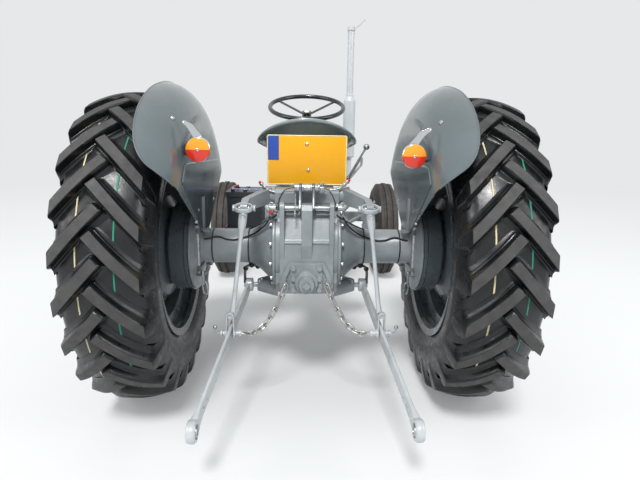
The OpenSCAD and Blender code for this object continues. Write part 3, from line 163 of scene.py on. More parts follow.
def cast_enamel(name, dark, light):
    """Satin enamel brushed over a rough sand casting, whose skin shows through."""
    def paint(tree, coords):
        return settled_dust(tree, coords, blotches(tree, coords, dark, light, 90), 0.35)
    return surface(name, paint, (0.30, 0.46), 30, 3.0, [(14, 0.9), (3.5, 0.35)],
                   Coat_Weight=0.25, Coat_Roughness=0.25)


def forged_steel(name, dark, light, gloss, edge_mm=1.5):
    """Plated or bare forged steel: bright metal with dull smudges and fine pits."""
    def metal(tree, coords):
        return blotches(tree, coords, dark, light, 22)
    return surface(name, metal, (gloss - 0.08, gloss + 0.12), 9, edge_mm, [(2.5, 0.15)], Metallic=0.85)


def tyre_rubber(name, dark, light, gloss, grain_mm, specks):
    """Vulcanised rubber: nearly black and glossy as moulded, grey and dull where it rolls."""
    def rubber(tree, coords):
        dirt = add(tree, "MapRange", {"Value": noise(tree, coords, 7, 2)}, From_Min=0.66, From_Max=0.74,
                   To_Max=specks)
        return overlaid(tree, blotches(tree, coords, dark, light, 40), "#8d8375", dirt.outputs["Result"])
    return surface(name, rubber, (gloss - 0.07, gloss + 0.12), 25, 2.0, [(grain_mm, 0.25)])


def moulded(name, code, gloss, metallic=0.0, coat=0.0, shade=0.06):
    """One even colour, moulded, turned or printed, with faint clouds in shade and gloss."""
    def clouded(tree, coords):
        clouds = add(tree, "MapRange", {"Value": noise(tree, coords, 12)}, To_Min=1 - shade, To_Max=1 + shade)
        tint = add(tree, "VectorMath", {1: clouds.outputs["Result"]}, operation="MULTIPLY")
        tint.inputs[0].default_value = linear(code)[:3]
        return tint.outputs[0]
    return surface(name, clouded, (gloss - 0.04, gloss + 0.05), 12, 1.0, [], Metallic=metallic,
                   Coat_Weight=coat)


# Satin grey brushed on sand castings: a rough skin with soft highlights
CASTING = cast_enamel("enamel_on_sand_casting", "#7d8488", "#8e9497")
# Grey-green enamel on pressed sheet: smooth, with broad clear highlights
PRESSING = enamel("enamel_on_pressed_sheet", "#7e8887", "#879190", 260, 0.22)
# The sheet's enamel made darker on the mudguards: painted reflection of the dark things that stand near
GUARD_PAINTED_REFLECTION = enamel("enamel_on_mudguard_painted_reflection", "#556063", "#616c6f", 260, 0.17)
# Slate on the mudguards' lower panels: painted shade and reflection on the sheet that faces away from the
# light
SLATE_SHADE_AND_REFLECTION = enamel("enamel_on_lower_panel_painted_shade", "#39444a", "#465157", 120, 0.16)
# Blue-grey enamel on discs and clamps, even and a little dull; on the silver-grey wheels it is painted shade
DARK_ENAMEL_AND_WHEEL_SHADE = enamel("dark_enamel_and_painted_wheel_shade", "#4d565b", "#565f64", 200, 0.28)
# Aluminium paint: pale silver without a mirror, on rims, exhaust and forged links
SILVER = enamel("aluminium_paint_on_rims", "#b4b9bc", "#c2c6c8", 120, 0.35)
FORGING = enamel("aluminium_paint_on_forgings", "#a9afb2", "#bcc1c3", 60, 0.3, edge_mm=2.0)
# Rubber: matt and dusty where it rolls, black and glossy as moulded, brownish with age
TREAD = tyre_rubber("rubber_worn_tread_face", "#353434", "#434241", 0.66, 2.5, 0.25)
RUBBER = tyre_rubber("rubber_moulded_gloss", "#0b0c0d", "#141517", 0.3, 5.0, 0.04)
OLD_RUBBER = tyre_rubber("rubber_aged_front_tyre", "#2a2624", "#3e3834", 0.68, 3.0, 0.35)
# Zinc plating: bright with grey smudges; the chain is warmer and more pitted
STEEL = forged_steel("steel_zinc_plated", "#9a9ea0", "#c6c9ca", 0.32)
CHAIN_STEEL = forged_steel("steel_galvanised_chain", "#9c9a96", "#c9c7c2", 0.34, 0.8)
# Moulded plastics: one even tone with a soft sheen
BLACK_PLASTIC = moulded("abs_moulded_black", "#17181a", 0.42)
BATTERY_CASE = moulded("polypropylene_moulded_charcoal", "#33373b", 0.4)
CABLE = moulded("pvc_extruded_black", "#101113", 0.38)
IVORY = moulded("abs_moulded_ivory", "#e6dfca", 0.35, coat=0.2)
RED_CAP = moulded("pe_moulded_red", "#d6231c", 0.4)
# Bakelite: black under a polished skin
WHEEL_RIM = moulded("bakelite_moulded_black", "#1a1a1c", 0.25, coat=0.4)
# Printed films: flat strong colour under a thin clear coat
PLATE = moulded("retroreflective_film_yellow", "#f5ae00", 0.38, coat=0.2, shade=0.03)
PLATE_EDGE = moulded("retroreflective_film_pale", "#f3e2a4", 0.38, coat=0.5, shade=0.03)
PLATE_BLUE = moulded("printed_film_blue", "#1746a5", 0.38, coat=0.5, shade=0.03)
LABEL = moulded("polyester_film_violet", "#4a50c0", 0.3, coat=0.3)
# Acrylic lenses: deep colour under a hard gloss
AMBER = moulded("acrylic_moulded_amber", "#f59a1c", 0.16, coat=0.6)
RED = moulded("acrylic_moulded_red", "#d3280f", 0.16, coat=0.6)
# Chrome plating: a clear mirror
CHROME = moulded("chrome_plated_brass", "#d5d8da", 0.08, metallic=1.0)
# Marking paint round the tyres: thin and dull
CREAM_PAINT = moulded("brushed_paint_cream", "#d8c9a0", 0.6)
GREEN_PAINT = moulded("brushed_paint_green", "#1f8a6c", 0.6)

NODE_FINISH = {
    "cast_paint": CASTING, "sheet_paint": PRESSING, "dark_paint": DARK_ENAMEL_AND_WHEEL_SHADE, "steel": STEEL,
    "silver_paint": SILVER, "tyre": RUBBER, "black_plastic": BLACK_PLASTIC, "wheel_rim": WHEEL_RIM,
    "plate": PLATE, "lamp": RED}

# Nodes whose finish differs from the rest of their slot: (start of the name, finish)
# The wheels' dark blue-grey is painted shade inside the rims, in place of their silver-grey paint
OWN_FINISH = [("rear_wheel", DARK_ENAMEL_AND_WHEEL_SHADE), ("front_wheel", DARK_ENAMEL_AND_WHEEL_SHADE), ("lift_arms", CASTING),
              ("front_tyre", OLD_RUBBER), ("exhaust", SILVER), ("battery", BATTERY_CASE)]


def finish_nodes():
    """Gives each CAD node its finish through its own material slots; the wheels' dark finish is painted
    shade.
    """
    for sub in frame["record"]["subparts"]:
        own = [finish for start, finish in OWN_FINISH if sub["node"].startswith(start)]
        materials = frame["nodes"][sub["node"]].data.materials
        materials.clear()
        materials.append(own[0] if own else NODE_FINISH[sub["material_slot"]])


# Camera, floor and light

BACKDROP = "#e6e8e9"


def seen(tree):
    """One for rays from the camera and for those that mirror or pass through, else nothing."""
    rays = add(tree, "LightPath")
    direct = add(tree, "Math", {0: rays.outputs["Is Camera Ray"], 1: rays.outputs["Is Glossy Ray"]},
                 operation="MAXIMUM")
    return add(tree, "Math", {0: direct.outputs[0], 1: rays.outputs["Is Transmission Ray"]},
               operation="MAXIMUM").outputs[0]


def floor_paper():
    """Seamless pale paper: it keeps the shadow near the tractor and runs into the backdrop far off."""
    material, tree, shader, coords = new_material("floor_paper")
    shader.inputs["Base Color"].default_value = linear("#dedfdf")
    shader.inputs["Roughness"].default_value = 0.9
    far = add(tree, "VectorMath", {0: coords}, operation="LENGTH")
    share = add(tree, "MapRange", {"Value": far.outputs["Value"]}, From_Min=2.5, From_Max=9.0, To_Min=0.25,
                To_Max=1.0)
    mask = add(tree, "Math", {0: share.outputs["Result"], 1: seen(tree)}, operation="MULTIPLY")
    glow = add(tree, "Emission", Color=linear(BACKDROP), Strength=1.0)
    mix = add(tree, "MixShader", {0: mask.outputs[0], 1: shader.outputs[0], 2: glow.outputs[0]})
    tree.links.new(mix.outputs[0], tree.nodes["Material Output"].inputs["Surface"])
    return material


def camera_and_light():
    """The camera stands where the photograph's stood; the light is a soft studio dome."""
    scene = bpy.context.scene
    data = bpy.data.cameras.new("camera")
    # Lens, place and angles are fitted to the photograph
    data.sensor_width = 36.0
    data.lens = 27.84
    data.clip_start = 0.05
    camera = bpy.data.objects.new("camera", data)
    scene.collection.objects.link(camera)
    pitch, yaw, roll = math.radians(12.35), math.radians(1.96), math.radians(0.84)
    ahead = Vector((math.sin(yaw) * math.cos(pitch), math.cos(yaw) * math.cos(pitch), -math.sin(pitch)))
    right = Vector((math.cos(yaw), -math.sin(yaw), 0))
    up = right.cross(ahead)
    turned_right = right * math.cos(roll) + up * math.sin(roll)
    turned_up = up * math.cos(roll) - right * math.sin(roll)
    pose = Matrix((turned_right, turned_up, -ahead)).transposed().to_4x4()
    pose.translation = at(-13, -2083, 1107)
    camera.matrix_world = pose
    scene.camera = camera

    bpy.ops.mesh.primitive_plane_add(size=80, location=(0, 0, 0))
    floor = bpy.context.object
    floor.name = "floor"
    floor.data.materials.append(floor_paper())

    world = bpy.data.worlds.new("studio")
    scene.world = world
    world.use_nodes = True
    tree = world.node_tree
    height = add(tree, "SeparateXYZ", {"Vector": add(tree, "TexCoord").outputs["Generated"]}).outputs["Z"]
    level = add(tree, "MapRange", {"Value": height}, From_Min=-0.1, From_Max=0.8, To_Min=0.22, To_Max=0.62)
    sky = tree.nodes["Background"]
    sky.inputs["Color"].default_value = linear("#eef2f6")
    tree.links.new(level.outputs["Result"], sky.inputs["Strength"])
    backdrop = add(tree, "Background", Color=linear(BACKDROP), Strength=1.0)
    mix = add(tree, "MixShader", {0: seen(tree), 1: sky.outputs[0], 2: backdrop.outputs[0]})
    tree.links.new(mix.outputs[0], tree.nodes["World Output"].inputs["Surface"])

    # A soft high sun above the camera, and a softbox at each side that marks out the gloss
    lights = [("sun", "SUN", (-0.6, -3.6, 5.0), 2.9), ("softbox_left", "AREA", (-3.9, -2.4, 2.7), 65),
              ("softbox_right", "AREA", (3.9, -2.4, 2.7), 65)]
    for name, kind, place, power in lights:
        light = bpy.data.lights.new(name, kind)
        light.energy = power
        if kind == "SUN":
            light.angle = math.radians(14)
        else:
            light.size = 2.2
        lamp = bpy.data.objects.new(name, light)
        scene.collection.objects.link(lamp)
        lamp.location = place
        lamp.rotation_euler = (Vector((0, -0.4, 0.6)) - Vector(place)).to_track_quat("-Z", "Y").to_euler()
    scene.view_settings.view_transform = "Standard"


camera_and_light()
finish_nodes()


# Mesh helpers. A shape is (points in millimetres, faces); poses are matrices in millimetres.

def aim(place, direction):
    """A pose that puts a shape's own Z along a direction, at a place."""
    return Matrix.Translation(Vector(place)) @ Vector(direction).to_track_quat("Z", "Y").to_matrix().to_4x4()


def moved(shape, pose):
    """The shape moved into a pose."""
    verts, faces = shape
    return [pose @ Vector(v) for v in verts], faces


def turn(profile, steps, closed=True):
    """A profile of (radius, height) turned about Z."""
    n = len(profile)
    verts = [(r * math.cos(a), r * math.sin(a), z) for a in (2 * math.pi * i / steps for i in range(steps))
             for r, z in profile]
    faces = []
    for i in range(steps):
        for k in range(n if closed else n - 1):
            j, m = (i + 1) % steps, (k + 1) % n
            faces.append((i * n + k, j * n + k, j * n + m, i * n + m))
    return verts, faces


def prism(outline, height):
    """A flat outline in XY raised along Z."""
    n = len(outline)
    verts = [(x, y, z) for z in (0, height) for x, y in outline]
    faces = [tuple(range(n - 1, -1, -1)), tuple(range(n, 2 * n))]
    faces += [(k, (k + 1) % n, n + (k + 1) % n, n + k) for k in range(n)]
    return verts, faces


def box(low, high):
    """A block between two corners."""
    outline = [(low[0], low[1]), (high[0], low[1]), (high[0], high[1]), (low[0], high[1])]
    return moved(prism(outline, high[2] - low[2]), Matrix.Translation((0, 0, low[2])))


def arc(radius, start, end, steps, centre=(0, 0)):
    """Points of an arc, its angles in degrees."""
    angles = [math.radians(start + (end - start) * i / steps) for i in range(steps + 1)]
    return [(centre[0] + radius * math.cos(a), centre[1] + radius * math.sin(a)) for a in angles]


def smooth_line(points, between):
    """A Catmull-Rom line through the points, in so many steps from each to the next."""
    pts = [Vector(p) for p in points]
    pts = [2 * pts[0] - pts[1]] + pts + [2 * pts[-1] - pts[-2]]
    line = []
    for p0, p1, p2, p3 in zip(pts, pts[1:], pts[2:], pts[3:]):
        for i in range(between):
            t = i / between
            line.append(0.5 * (2 * p1 + (p2 - p0) * t + (2 * p0 - 5 * p1 + 4 * p2 - p3) * t * t
                               + (3 * p1 - p0 - 3 * p2 + p3) * t ** 3))
    return line + [pts[-2]]


def sweep(points, radius, sides, closed=False):
    """A round tube along a line of points."""
    n = len(points)
    verts, faces = [], []
    side = None
    for i, p in enumerate(points):
        ahead = points[(i + 1) % n] if closed or i < n - 1 else p
        behind = points[i - 1] if closed or i > 0 else p
        along = (ahead - behind).normalized()
        side = (along.orthogonal() if side is None else side - along * side.dot(along)).normalized()
        other = along.cross(side)
        verts += [p + (side * math.cos(a) + other * math.sin(a)) * radius
                  for a in (2 * math.pi * k / sides for k in range(sides))]
    for i in range(n if closed else n - 1):
        j = (i + 1) % n
        faces += [(i * sides + k, i * sides + (k + 1) % sides, j * sides + (k + 1) % sides, j * sides + k)
                  for k in range(sides)]
    if not closed:
        faces += [tuple(range(sides - 1, -1, -1)), tuple(range((n - 1) * sides, n * sides))]
    return verts, faces


def rod(start, end, radius, sides=20):
    """A round bar between two places."""
    return sweep([Vector(start), Vector(end)], radius, sides)


def bolt_head(across, height):
    """A hexagon head on a thin washer."""
    washer = 1.6
    hexagon = prism(arc(across / math.sqrt(3), 0, 300, 5), height)
    return [prism(arc(across * 0.68, 0, 345, 23), washer), moved(hexagon, Matrix.Translation((0, 0, washer)))]


def round_axle(x, r, back):
    """A place at x and a radius round the rear axle, at an angle in degrees back from upright."""
    a = math.radians(back)
    return x, -r * math.sin(a), AXLE_Z + r * math.cos(a)


def make(name, groups, body, bevel_mm=0.0, smooth_angle=35, replaces=()):
    """One mesh piece from groups of (shape, material), with softened edges, riding on a body."""
    materials, verts, faces, marks = [], [], [], []
    for shape, material in groups:
        if material not in materials:
            materials.append(material)
        start = len(verts)
        verts += [at(*v) for v in shape[0]]
        faces += [tuple(start + i for i in f) for f in shape[1]]
        marks += [materials.index(material)] * len(shape[1])
    mesh = bpy.data.meshes.new(name)
    mesh.from_pydata(verts, [], faces)
    for material in materials:
        mesh.materials.append(material)
    mesh.polygons.foreach_set("material_index", marks)
    piece = bpy.data.objects.new(name, mesh)
    bpy.context.scene.collection.objects.link(piece)
    soften(piece, bevel_mm, smooth_angle)
    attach(piece, body)
    if replaces:
        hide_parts(*replaces)
    return piece


def soften(piece, bevel_mm, smooth_angle):
    """Outward normals, small bevels on sharp edges, and smooth shading below an angle."""
    work = bmesh.new()
    work.from_mesh(piece.data)
    bmesh.ops.remove_doubles(work, verts=work.verts, dist=2e-6)
    bmesh.ops.recalc_face_normals(work, faces=work.faces)
    limit = math.radians(smooth_angle)
    if bevel_mm:
        sharp = [e for e in work.edges if len(e.link_faces) == 2 and e.calc_face_angle(0) > limit]
        bmesh.ops.bevel(work, geom=sharp, offset=bevel_mm * MM, segments=2, profile=0.6, affect="EDGES",
                        clamp_overlap=True)
    for edge in work.edges:
        edge.smooth = len(edge.link_faces) != 2 or edge.calc_face_angle(0) < limit
    for face in work.faces:
        face.smooth = True
    work.to_mesh(piece.data)
    work.free()


def mirrored(shape):
    """The shape on the other side of the tractor's middle."""
    verts, faces = shape
    return [(-v[0], v[1], v[2]) for v in verts], [tuple(reversed(f)) for f in faces]


def on_side(side, groups):
    """The same groups on the right, or mirrored to the left."""
    return groups if side == "right" else [(mirrored(shape), material) for shape, material in groups]


def both_sides(groups):
    """The right side's groups and their mirror image."""
    return on_side("left", groups) + on_side("right", groups)


SIDES = ("left", "right")
BACK, UP, RIGHT = Vector((0, -1, 0)), Vector((0, 0, 1)), Vector((1, 0, 0))

# Rear tyres: glossy moulded carcass, matt lug faces, and the two painted lines round the tread

# Lugs a side, half the tread's width, degrees that a lug runs round, and where its nose starts
LUGS, TREAD_HALF, LUG_SWEEP, NOSE_X = 23, 141, 15.5, -13
# The side wall's bulge: its middle's radius and distance out, half its height and its reach
WALL_R, WALL_X, WALL_HIGH, WALL_WIDE = 468, 112.5, 92, 43.5
OUTER_R = REAR_R / MM
ACROSS = Matrix.Rotation(math.radians(90), 4, "Y")


def crown(x):
    """Radius of the tread between the lugs."""
    return OUTER_R - 36 - 34 * (x / TREAD_HALF) ** 2


def lug_top(x):
    """Radius of the lugs' rolling face."""
    return OUTER_R - 28 * (x / TREAD_HALF) ** 2


def carcass_half():
    """The outer profile from the middle of the tread to the bead, as (radius, x)."""
    points = [(crown(x), x) for x in range(0, 121, 15)]
    for i in range(19):
        a = math.radians(64 - 122 * i / 18)
        # Two raised rings on the wall
        wide = WALL_WIDE + (1.2 if i in (9, 14) else 0)
        points.append((WALL_R + WALL_HIGH * math.sin(a), WALL_X + wide * math.cos(a)))
    return points + [(384, 131), (370, 129), (359, 125)]


def carcass():
    """The hollow tyre without its lugs, from bead to bead."""
    half = carcass_half()
    mirror = [(r, -x) for r, x in reversed(half[1:])]
    side = [(345, 104), (420, 118), (520, 104), (560, 60)]
    liner = side + [(566, 0)] + [(r, -x) for r, x in reversed(side)]
    return moved(turn(mirror + half + liner, 144), ACROSS)


# A lug's flank: (distance out from the top's edge in mm, share of the height)
LUG_SECTION = [(23, -0.05), (14, 0.05), (9.5, 0.16), (7.5, 0.27), (5.0, 0.30), (3.0, 0.62), (1.2, 0.94),
               (-1.0, 1.0)]
# Stations past the shoulder, where the lug's end runs down the wall: (x, top radius, foot radius)
LUG_END = [(144, 588, 540), (148, 566, 522), (152, 540, 500), (156, 508, 486)]


def lug(angle):
    """One lug from its blunt nose to its end on the wall: (flanks and ends, rolling face)."""
    slant = math.atan(OUTER_R * math.radians(LUG_SWEEP) / (TREAD_HALF - NOSE_X))
    along, across = Vector((math.cos(slant), math.sin(slant))), Vector((-math.sin(slant), math.cos(slant)))
    stations = [(NOSE_X - 9, 0.0, 0.02), (NOSE_X - 2.5, 0.0, 0.9), (NOSE_X, 0.0, 1.0)]
    stations += [(x, (x - NOSE_X) / (TREAD_HALF - NOSE_X), 1.0)
                 for x in (5, 25, 45, 65, 85, 105, 125, TREAD_HALF - 2)]
    rings = []
    for x, share, high in stations:
        foot = crown(x)
        rings.append([(x, share, foot + (lug_top(x) - foot) * h * high, w) for w, h in section()])
    for x, top, foot in LUG_END:
        taper = (top - 500) / 100
        rings.append([(x, 1.0, foot + (top - foot) * h, w * (0.6 + 0.4 * taper)) for w, h in section()])
    verts, faces = [], []
    for ring in rings:
        for x, share, radius, w in ring:
            flat = (x - NOSE_X) * math.tan(slant)
            skew = across * w + along * (share * w * math.tan(slant))
            px = x + (skew.x if x < TREAD_HALF - 2 else 0)
            s = flat + (skew.y if x < TREAD_HALF - 2 else w / math.cos(slant))
            a = math.radians(angle) + s / OUTER_R
            verts.append((px, radius * math.cos(a), radius * math.sin(a)))
    n = len(rings[0])
    for i in range(len(rings) - 1):
        for k in range(n - 1):
            faces.append((i * n + k, i * n + k + 1, (i + 1) * n + k + 1, (i + 1) * n + k))
    faces.append(tuple(range(n - 1, -1, -1)))
    faces.append(tuple(range((len(rings) - 1) * n, len(rings) * n)))
    middle = n // 2 - 1
    tops = [f for i, f in enumerate(faces[:-2]) if i % (n - 1) == middle and 2 <= i // (n - 1) <= 9]
    rest = [f for f in faces if f not in tops]
    return (verts, rest), (verts, tops)


def section():
    """The lug's section across, as (distance from its middle, share of its height)."""
    half_top = 17.5
    left = [(-half_top - w, h) for w, h in LUG_SECTION]
    return left + [(-w, h) for w, h in reversed(left)]


def painted_line(x):
    """A thin ring of paint round the tread base, at a distance from the tyre's middle."""
    half = 2.5
    profile = [(crown(x + d) + 0.8, x + d) for d in (-half, half)]
    profile += [(crown(x + d) - 1.0, x + d) for d in (half, -half)]
    return moved(turn(profile, 144), ACROSS)


def rear_tyres():
    """Both tyres; the lugs' second row is the first, mirrored and half a pitch on."""
    for side in SIDES:
        groups = [(carcass(), RUBBER)]
        for i in range(LUGS):
            for flip in (False, True):
                for shape, material in zip(lug((i + 0.5 * flip) * 360 / LUGS), (RUBBER, TREAD)):
                    groups.append((mirrored(shape) if flip else shape, material))
        lines = ((60, CREAM_PAINT), (-58, GREEN_PAINT))
        if side == "right":
            lines = ((58, GREEN_PAINT), (-60, CREAM_PAINT))
        groups = on_side(side, groups + [(painted_line(x), paint) for x, paint in lines])
        centre = Matrix.Translation(((1 if side == "right" else -1) * REAR_X / MM, 0, AXLE_Z))
        make("rear_tyre_dressed_" + side, [(moved(shape, centre), m) for shape, m in groups],
             "rear_wheel_" + side, smooth_angle=38, replaces=["rear_tyre_" + side])


rear_tyres()


def loft(rings, ends="flat"):
    """Closed rings of points joined in order, with flat ends, strips, two points, or none in a loop."""
    n, last = len(rings[0]), (len(rings) - 1) * len(rings[0])
    verts = [p for ring in rings for p in ring]
    faces = [(i + k, i + (k + 1) % n, i + n + (k + 1) % n, i + n + k)
             for i in range(0, last, n) for k in range(n)]
    if ends == "flat":
        faces += [tuple(range(n - 1, -1, -1)), tuple(range(last, last + n))]
    elif ends == "loop":
        return verts, faces
    elif ends == "strip":
        for k in range(n // 2 - 1):
            cap = (k, n - 1 - k, n - 2 - k, k + 1)
            faces += [cap, tuple(last + i for i in reversed(cap))]
    else:
        verts += list(ends)
        for k in range(n):
            faces += [(k, last + n, (k + 1) % n), (last + k, last + (k + 1) % n, last + n + 1)]
    return verts, faces


def rounded_rect(low, high, r):
    """Outline of a rectangle with round corners."""
    corners = [(high[0] - r, low[1] + r, -90), (high[0] - r, high[1] - r, 0),
               (low[0] + r, high[1] - r, 90), (low[0] + r, low[1] + r, 180)]
    return [p for x, y, start in corners for p in arc(r, start, start + 90, 5, (x, y))]


def rear_plate(outline, y, thick):
    """A plate of an outline in X and Z, with its rear face at y."""
    verts, faces = prism(outline, thick)
    return [Vector((x, y + thick - depth, z)) for x, z, depth in verts], faces


def side_plate(outline, x, thick):
    """A plate of an outline in Y and Z, with its inner face at x."""
    verts, faces = prism(outline, thick)
    return [Vector((x + depth, y, z)) for y, z, depth in verts], faces


def dome(place, out, profile, steps=28):
    """A profile of (radius, distance out) turned about a direction and left open at its ends."""
    return moved(turn(profile, steps, closed=False), aim(place, out))


def ball(place, r, steps=8, sides=16):
    """A ball from pole to pole."""
    return moved(turn(arc(r, 90, -90, steps), sides, closed=False), Matrix.Translation(place))


def collar(place, profile, steps=40):
    """A ring with a section of (radius, x), turned about an axis across the tractor."""
    return moved(turn(profile, steps), aim(place, RIGHT))


def touch(node, start, way):
    """Where a ray through the frame first meets a CAD node, and the surface's normal there."""
    mesh = frame["nodes"][node].data
    tree = BVHTree.FromPolygons([v.co for v in mesh.vertices], [p.vertices[:] for p in mesh.polygons])
    place, normal = tree.ray_cast(at(*start), Vector(way))[:2]
    return (place - at(0, 0, 0)) / MM, normal


def band(path, wide, high, up, closed=False):
    """A rolled band of a rounded section along a path, its height along up."""
    rings = []
    n = len(path)
    for i, p in enumerate(path):
        ahead = path[(i + 1) % n] if closed or i < n - 1 else p
        behind = path[i - 1] if closed or i > 0 else p
        side = (ahead - behind).cross(up).normalized()
        corners = [(-1, -0.6), (-0.6, -1), (0.6, -1), (1, -0.6), (1, 0.6), (0.6, 1), (-0.6, 1), (-1, 0.6)]
        rings.append([p + side * (a * wide / 2) + up * (b * high / 2) for a, b in corners])
    return loft(rings + rings[:1], "loop") if closed else loft(rings)


def head(place, out, r, high):
    """A domed rivet or bolt head of a radius, standing out from a place."""
    profile = [(r, -1), (r, high * 0.25), (r * 0.8, high * 0.7), (r * 0.45, high * 0.95), (0.1, high)]
    return dome(place, out, profile, 20)


def hex_bolts(places, out, across, high):
    """Hexagon bolts on washers at several places, facing one way."""
    return [(moved(shape, aim(place, out)), STEEL) for place in places for shape in bolt_head(across, high)]


def link(pitch, r, wire, pose):
    """An oval chain link of round wire: its eyes' distance, the eyes' middle radius and the wire."""
    half = pitch / 2
    path = [(half + x, y) for x, y in arc(r, -90, 90, 8)] + [(x - half, y) for x, y in arc(r, 90, 270, 8)]
    return moved(sweep([Vector((x, y, 0)) for x, y in path], wire / 2, 10, closed=True), pose)


# Mudguards: a smooth shell from the plate over the arch, with a rolled lip along its edge

# The plate's distance out, the arch's radius and full reach, the sheet, and where the arch begins
GUARD_X, GUARD_R, GUARD_ARCH, GUARD_T = 426, 670, 150, 3
PLATE_R = GUARD_R - 165
# The plate's lower edge: its height over the axle; its slanted ends' distance from it and their angle
LOW_HEIGHT, LOW_REACH, LOW_ANGLE = 73.3, 21.5, 59.5
# The free edge: (angle back from upright, reach past the plate)
GUARD_EDGE = [(-57, 10), (-54, 36), (-50, 66), (-40, 96), (-20, 112), (0, 118), (10, 123), (21, 134),
              (33, 137), (41, 131), (46.5, 121), (51, 103), (54, 78), (55.7, 46), (57, 8)]


def guard_low_r(a):
    """Radius of the plate's lower edge at an angle back from upright: level, then slanting up."""
    level = LOW_HEIGHT / math.cos(math.radians(a))
    slant = LOW_REACH / math.sin(math.radians(LOW_ANGLE - abs(a)))
    return min(PLATE_R - 1, max(slant, level))


def guard_section(reach, skin):
    """Points of the arch, as (x, radius), out to its reach past the plate."""
    top = math.acos(1 - reach / GUARD_ARCH)
    return [(GUARD_X + GUARD_ARCH - (GUARD_ARCH - skin) * math.cos(top * i / 14),
             PLATE_R + (GUARD_R - PLATE_R - skin) * math.sin(top * i / 14)) for i in range(15)]


def lower_panel():
    """Groups of the panel lapped over the mudguard's plate, up to a raised seam; its slate colour is painted
    shade and reflection, the seam bead's darker enamel painted reflection.
    """
    thick, seam_high, seam_slope = 2.5, 356, 0.027
    low, seam = [], []
    for a in range(-40, 53, 4):
        side, up = math.sin(math.radians(a)), math.cos(math.radians(a))
        bottom, top = guard_low_r(a) + 2, min(PLATE_R - 4, seam_high / (up - seam_slope * side))
        if top > bottom + 4:
            low.append(round_axle(0, bottom, a)[1:])
            seam.append(round_axle(0, top, a)[1:])
    panel = side_plate(low + seam[::-1], GUARD_X - thick, thick)
    bead = sweep([Vector((GUARD_X - thick, y, z)) for y, z in seam], 3, 8)
    return [(panel, SLATE_SHADE_AND_REFLECTION), (bead, GUARD_PAINTED_REFLECTION)]


def mudguards():
    """Both mudguards: shell, rolled edges, lower panel, rivets and the stay to the axle."""
    edge = smooth_line([(a, reach, 0) for a, reach in GUARD_EDGE], 7)
    rings, lip = [], []
    for a, reach, _ in edge:
        low = guard_low_r(a)
        plate = [(GUARD_X, low + (PLATE_R - low) * k / 8) for k in range(8)]
        inner = [(GUARD_X + GUARD_T, r) for _, r in plate]
        ring = plate + guard_section(reach, 0) + list(reversed(guard_section(reach, GUARD_T)))
        turned = [round_axle(x, r, a) for x, r in ring + list(reversed(inner))]
        rings.append(turned)
        half = len(turned) // 2
        above, below = Vector(turned[half - 1]), Vector(turned[half])
        lip.append(above + (below - above) * 0.5)
    shell = loft(rings, "strip")
    bead = sweep(lip, 3.2, 8)
    back = [Vector(rings[-1][k]) + RIGHT * 1.5 for k in range(9)]
    fixings = [((462.8, -325, 1145), (-0.785, -0.329, 0.526), 8.5), ((426, -150, 800), (-1, 0, 0), 6.5),
               ((426, -190, 760), (-1, 0, 0), 6.5), ((426, 180, 800), (-1, 0, 0), 6.5)]
    rivets = [dome(place, out, [(0.1, 5.5), (r * 0.5, 5.0), (r * 0.85, 3.2), (r, 0), (r, -4)], 24)
              for place, out, r in fixings]
    section = ((424.5, -77), (424.5, -43), (420.5, -43), (420.5, -77))
    stay = loft([[Vector((x, y, z)) for x, y in section] for z in (706, 760, 840)])
    foot = box((398, -77, 700), (425, -43, 706))
    for side in SIDES:
        # The shell and its rolled edges take the darker mudguard enamel: painted reflection
        groups = [(shell, GUARD_PAINTED_REFLECTION), (bead, GUARD_PAINTED_REFLECTION), (sweep(back, 2.2, 8), GUARD_PAINTED_REFLECTION)]
        groups += [(rivet, STEEL) for rivet in rivets] + [(stay, CASTING), (foot, CASTING)] + lower_panel()
        make("mudguard_dressed_" + side, on_side(side, groups), "chassis", smooth_angle=40,
             replaces=["mudguard_" + side])


mudguards()


# Rear lamps: chrome rim and bracket, lens in two colours with a screw in the middle

def lamp_lens(x, y, z, low, high):
    """Half of a domed lens between two angles, with fine ridges round it."""
    rings = []
    outer, inner, steps = 40.5, 2.5, 18
    for i in range(steps + 1):
        share = i / steps
        r = outer * (1 - share) + inner * share
        bulge = 46 + 9 * (1 - (r / outer) ** 2) + (0.5 if i % 2 else 0)
        rings.append([(x + r * math.cos(math.radians(a)), y - bulge, z + r * math.sin(math.radians(a)))
                      for a in range(low, high + 1, 5)])
    n = len(rings[0])
    verts = [p for ring in rings for p in ring] + [(px, y - 36, pz) for px, _, pz in rings[0]]
    back = (steps + 1) * n
    faces = [(i + k, i + k + 1, i + n + k + 1, i + n + k)
             for i in range(0, back - n, n) for k in range(n - 1)]
    faces += [(back + k, back + k + 1, k + 1, k) for k in range(n - 1)]
    return verts, faces


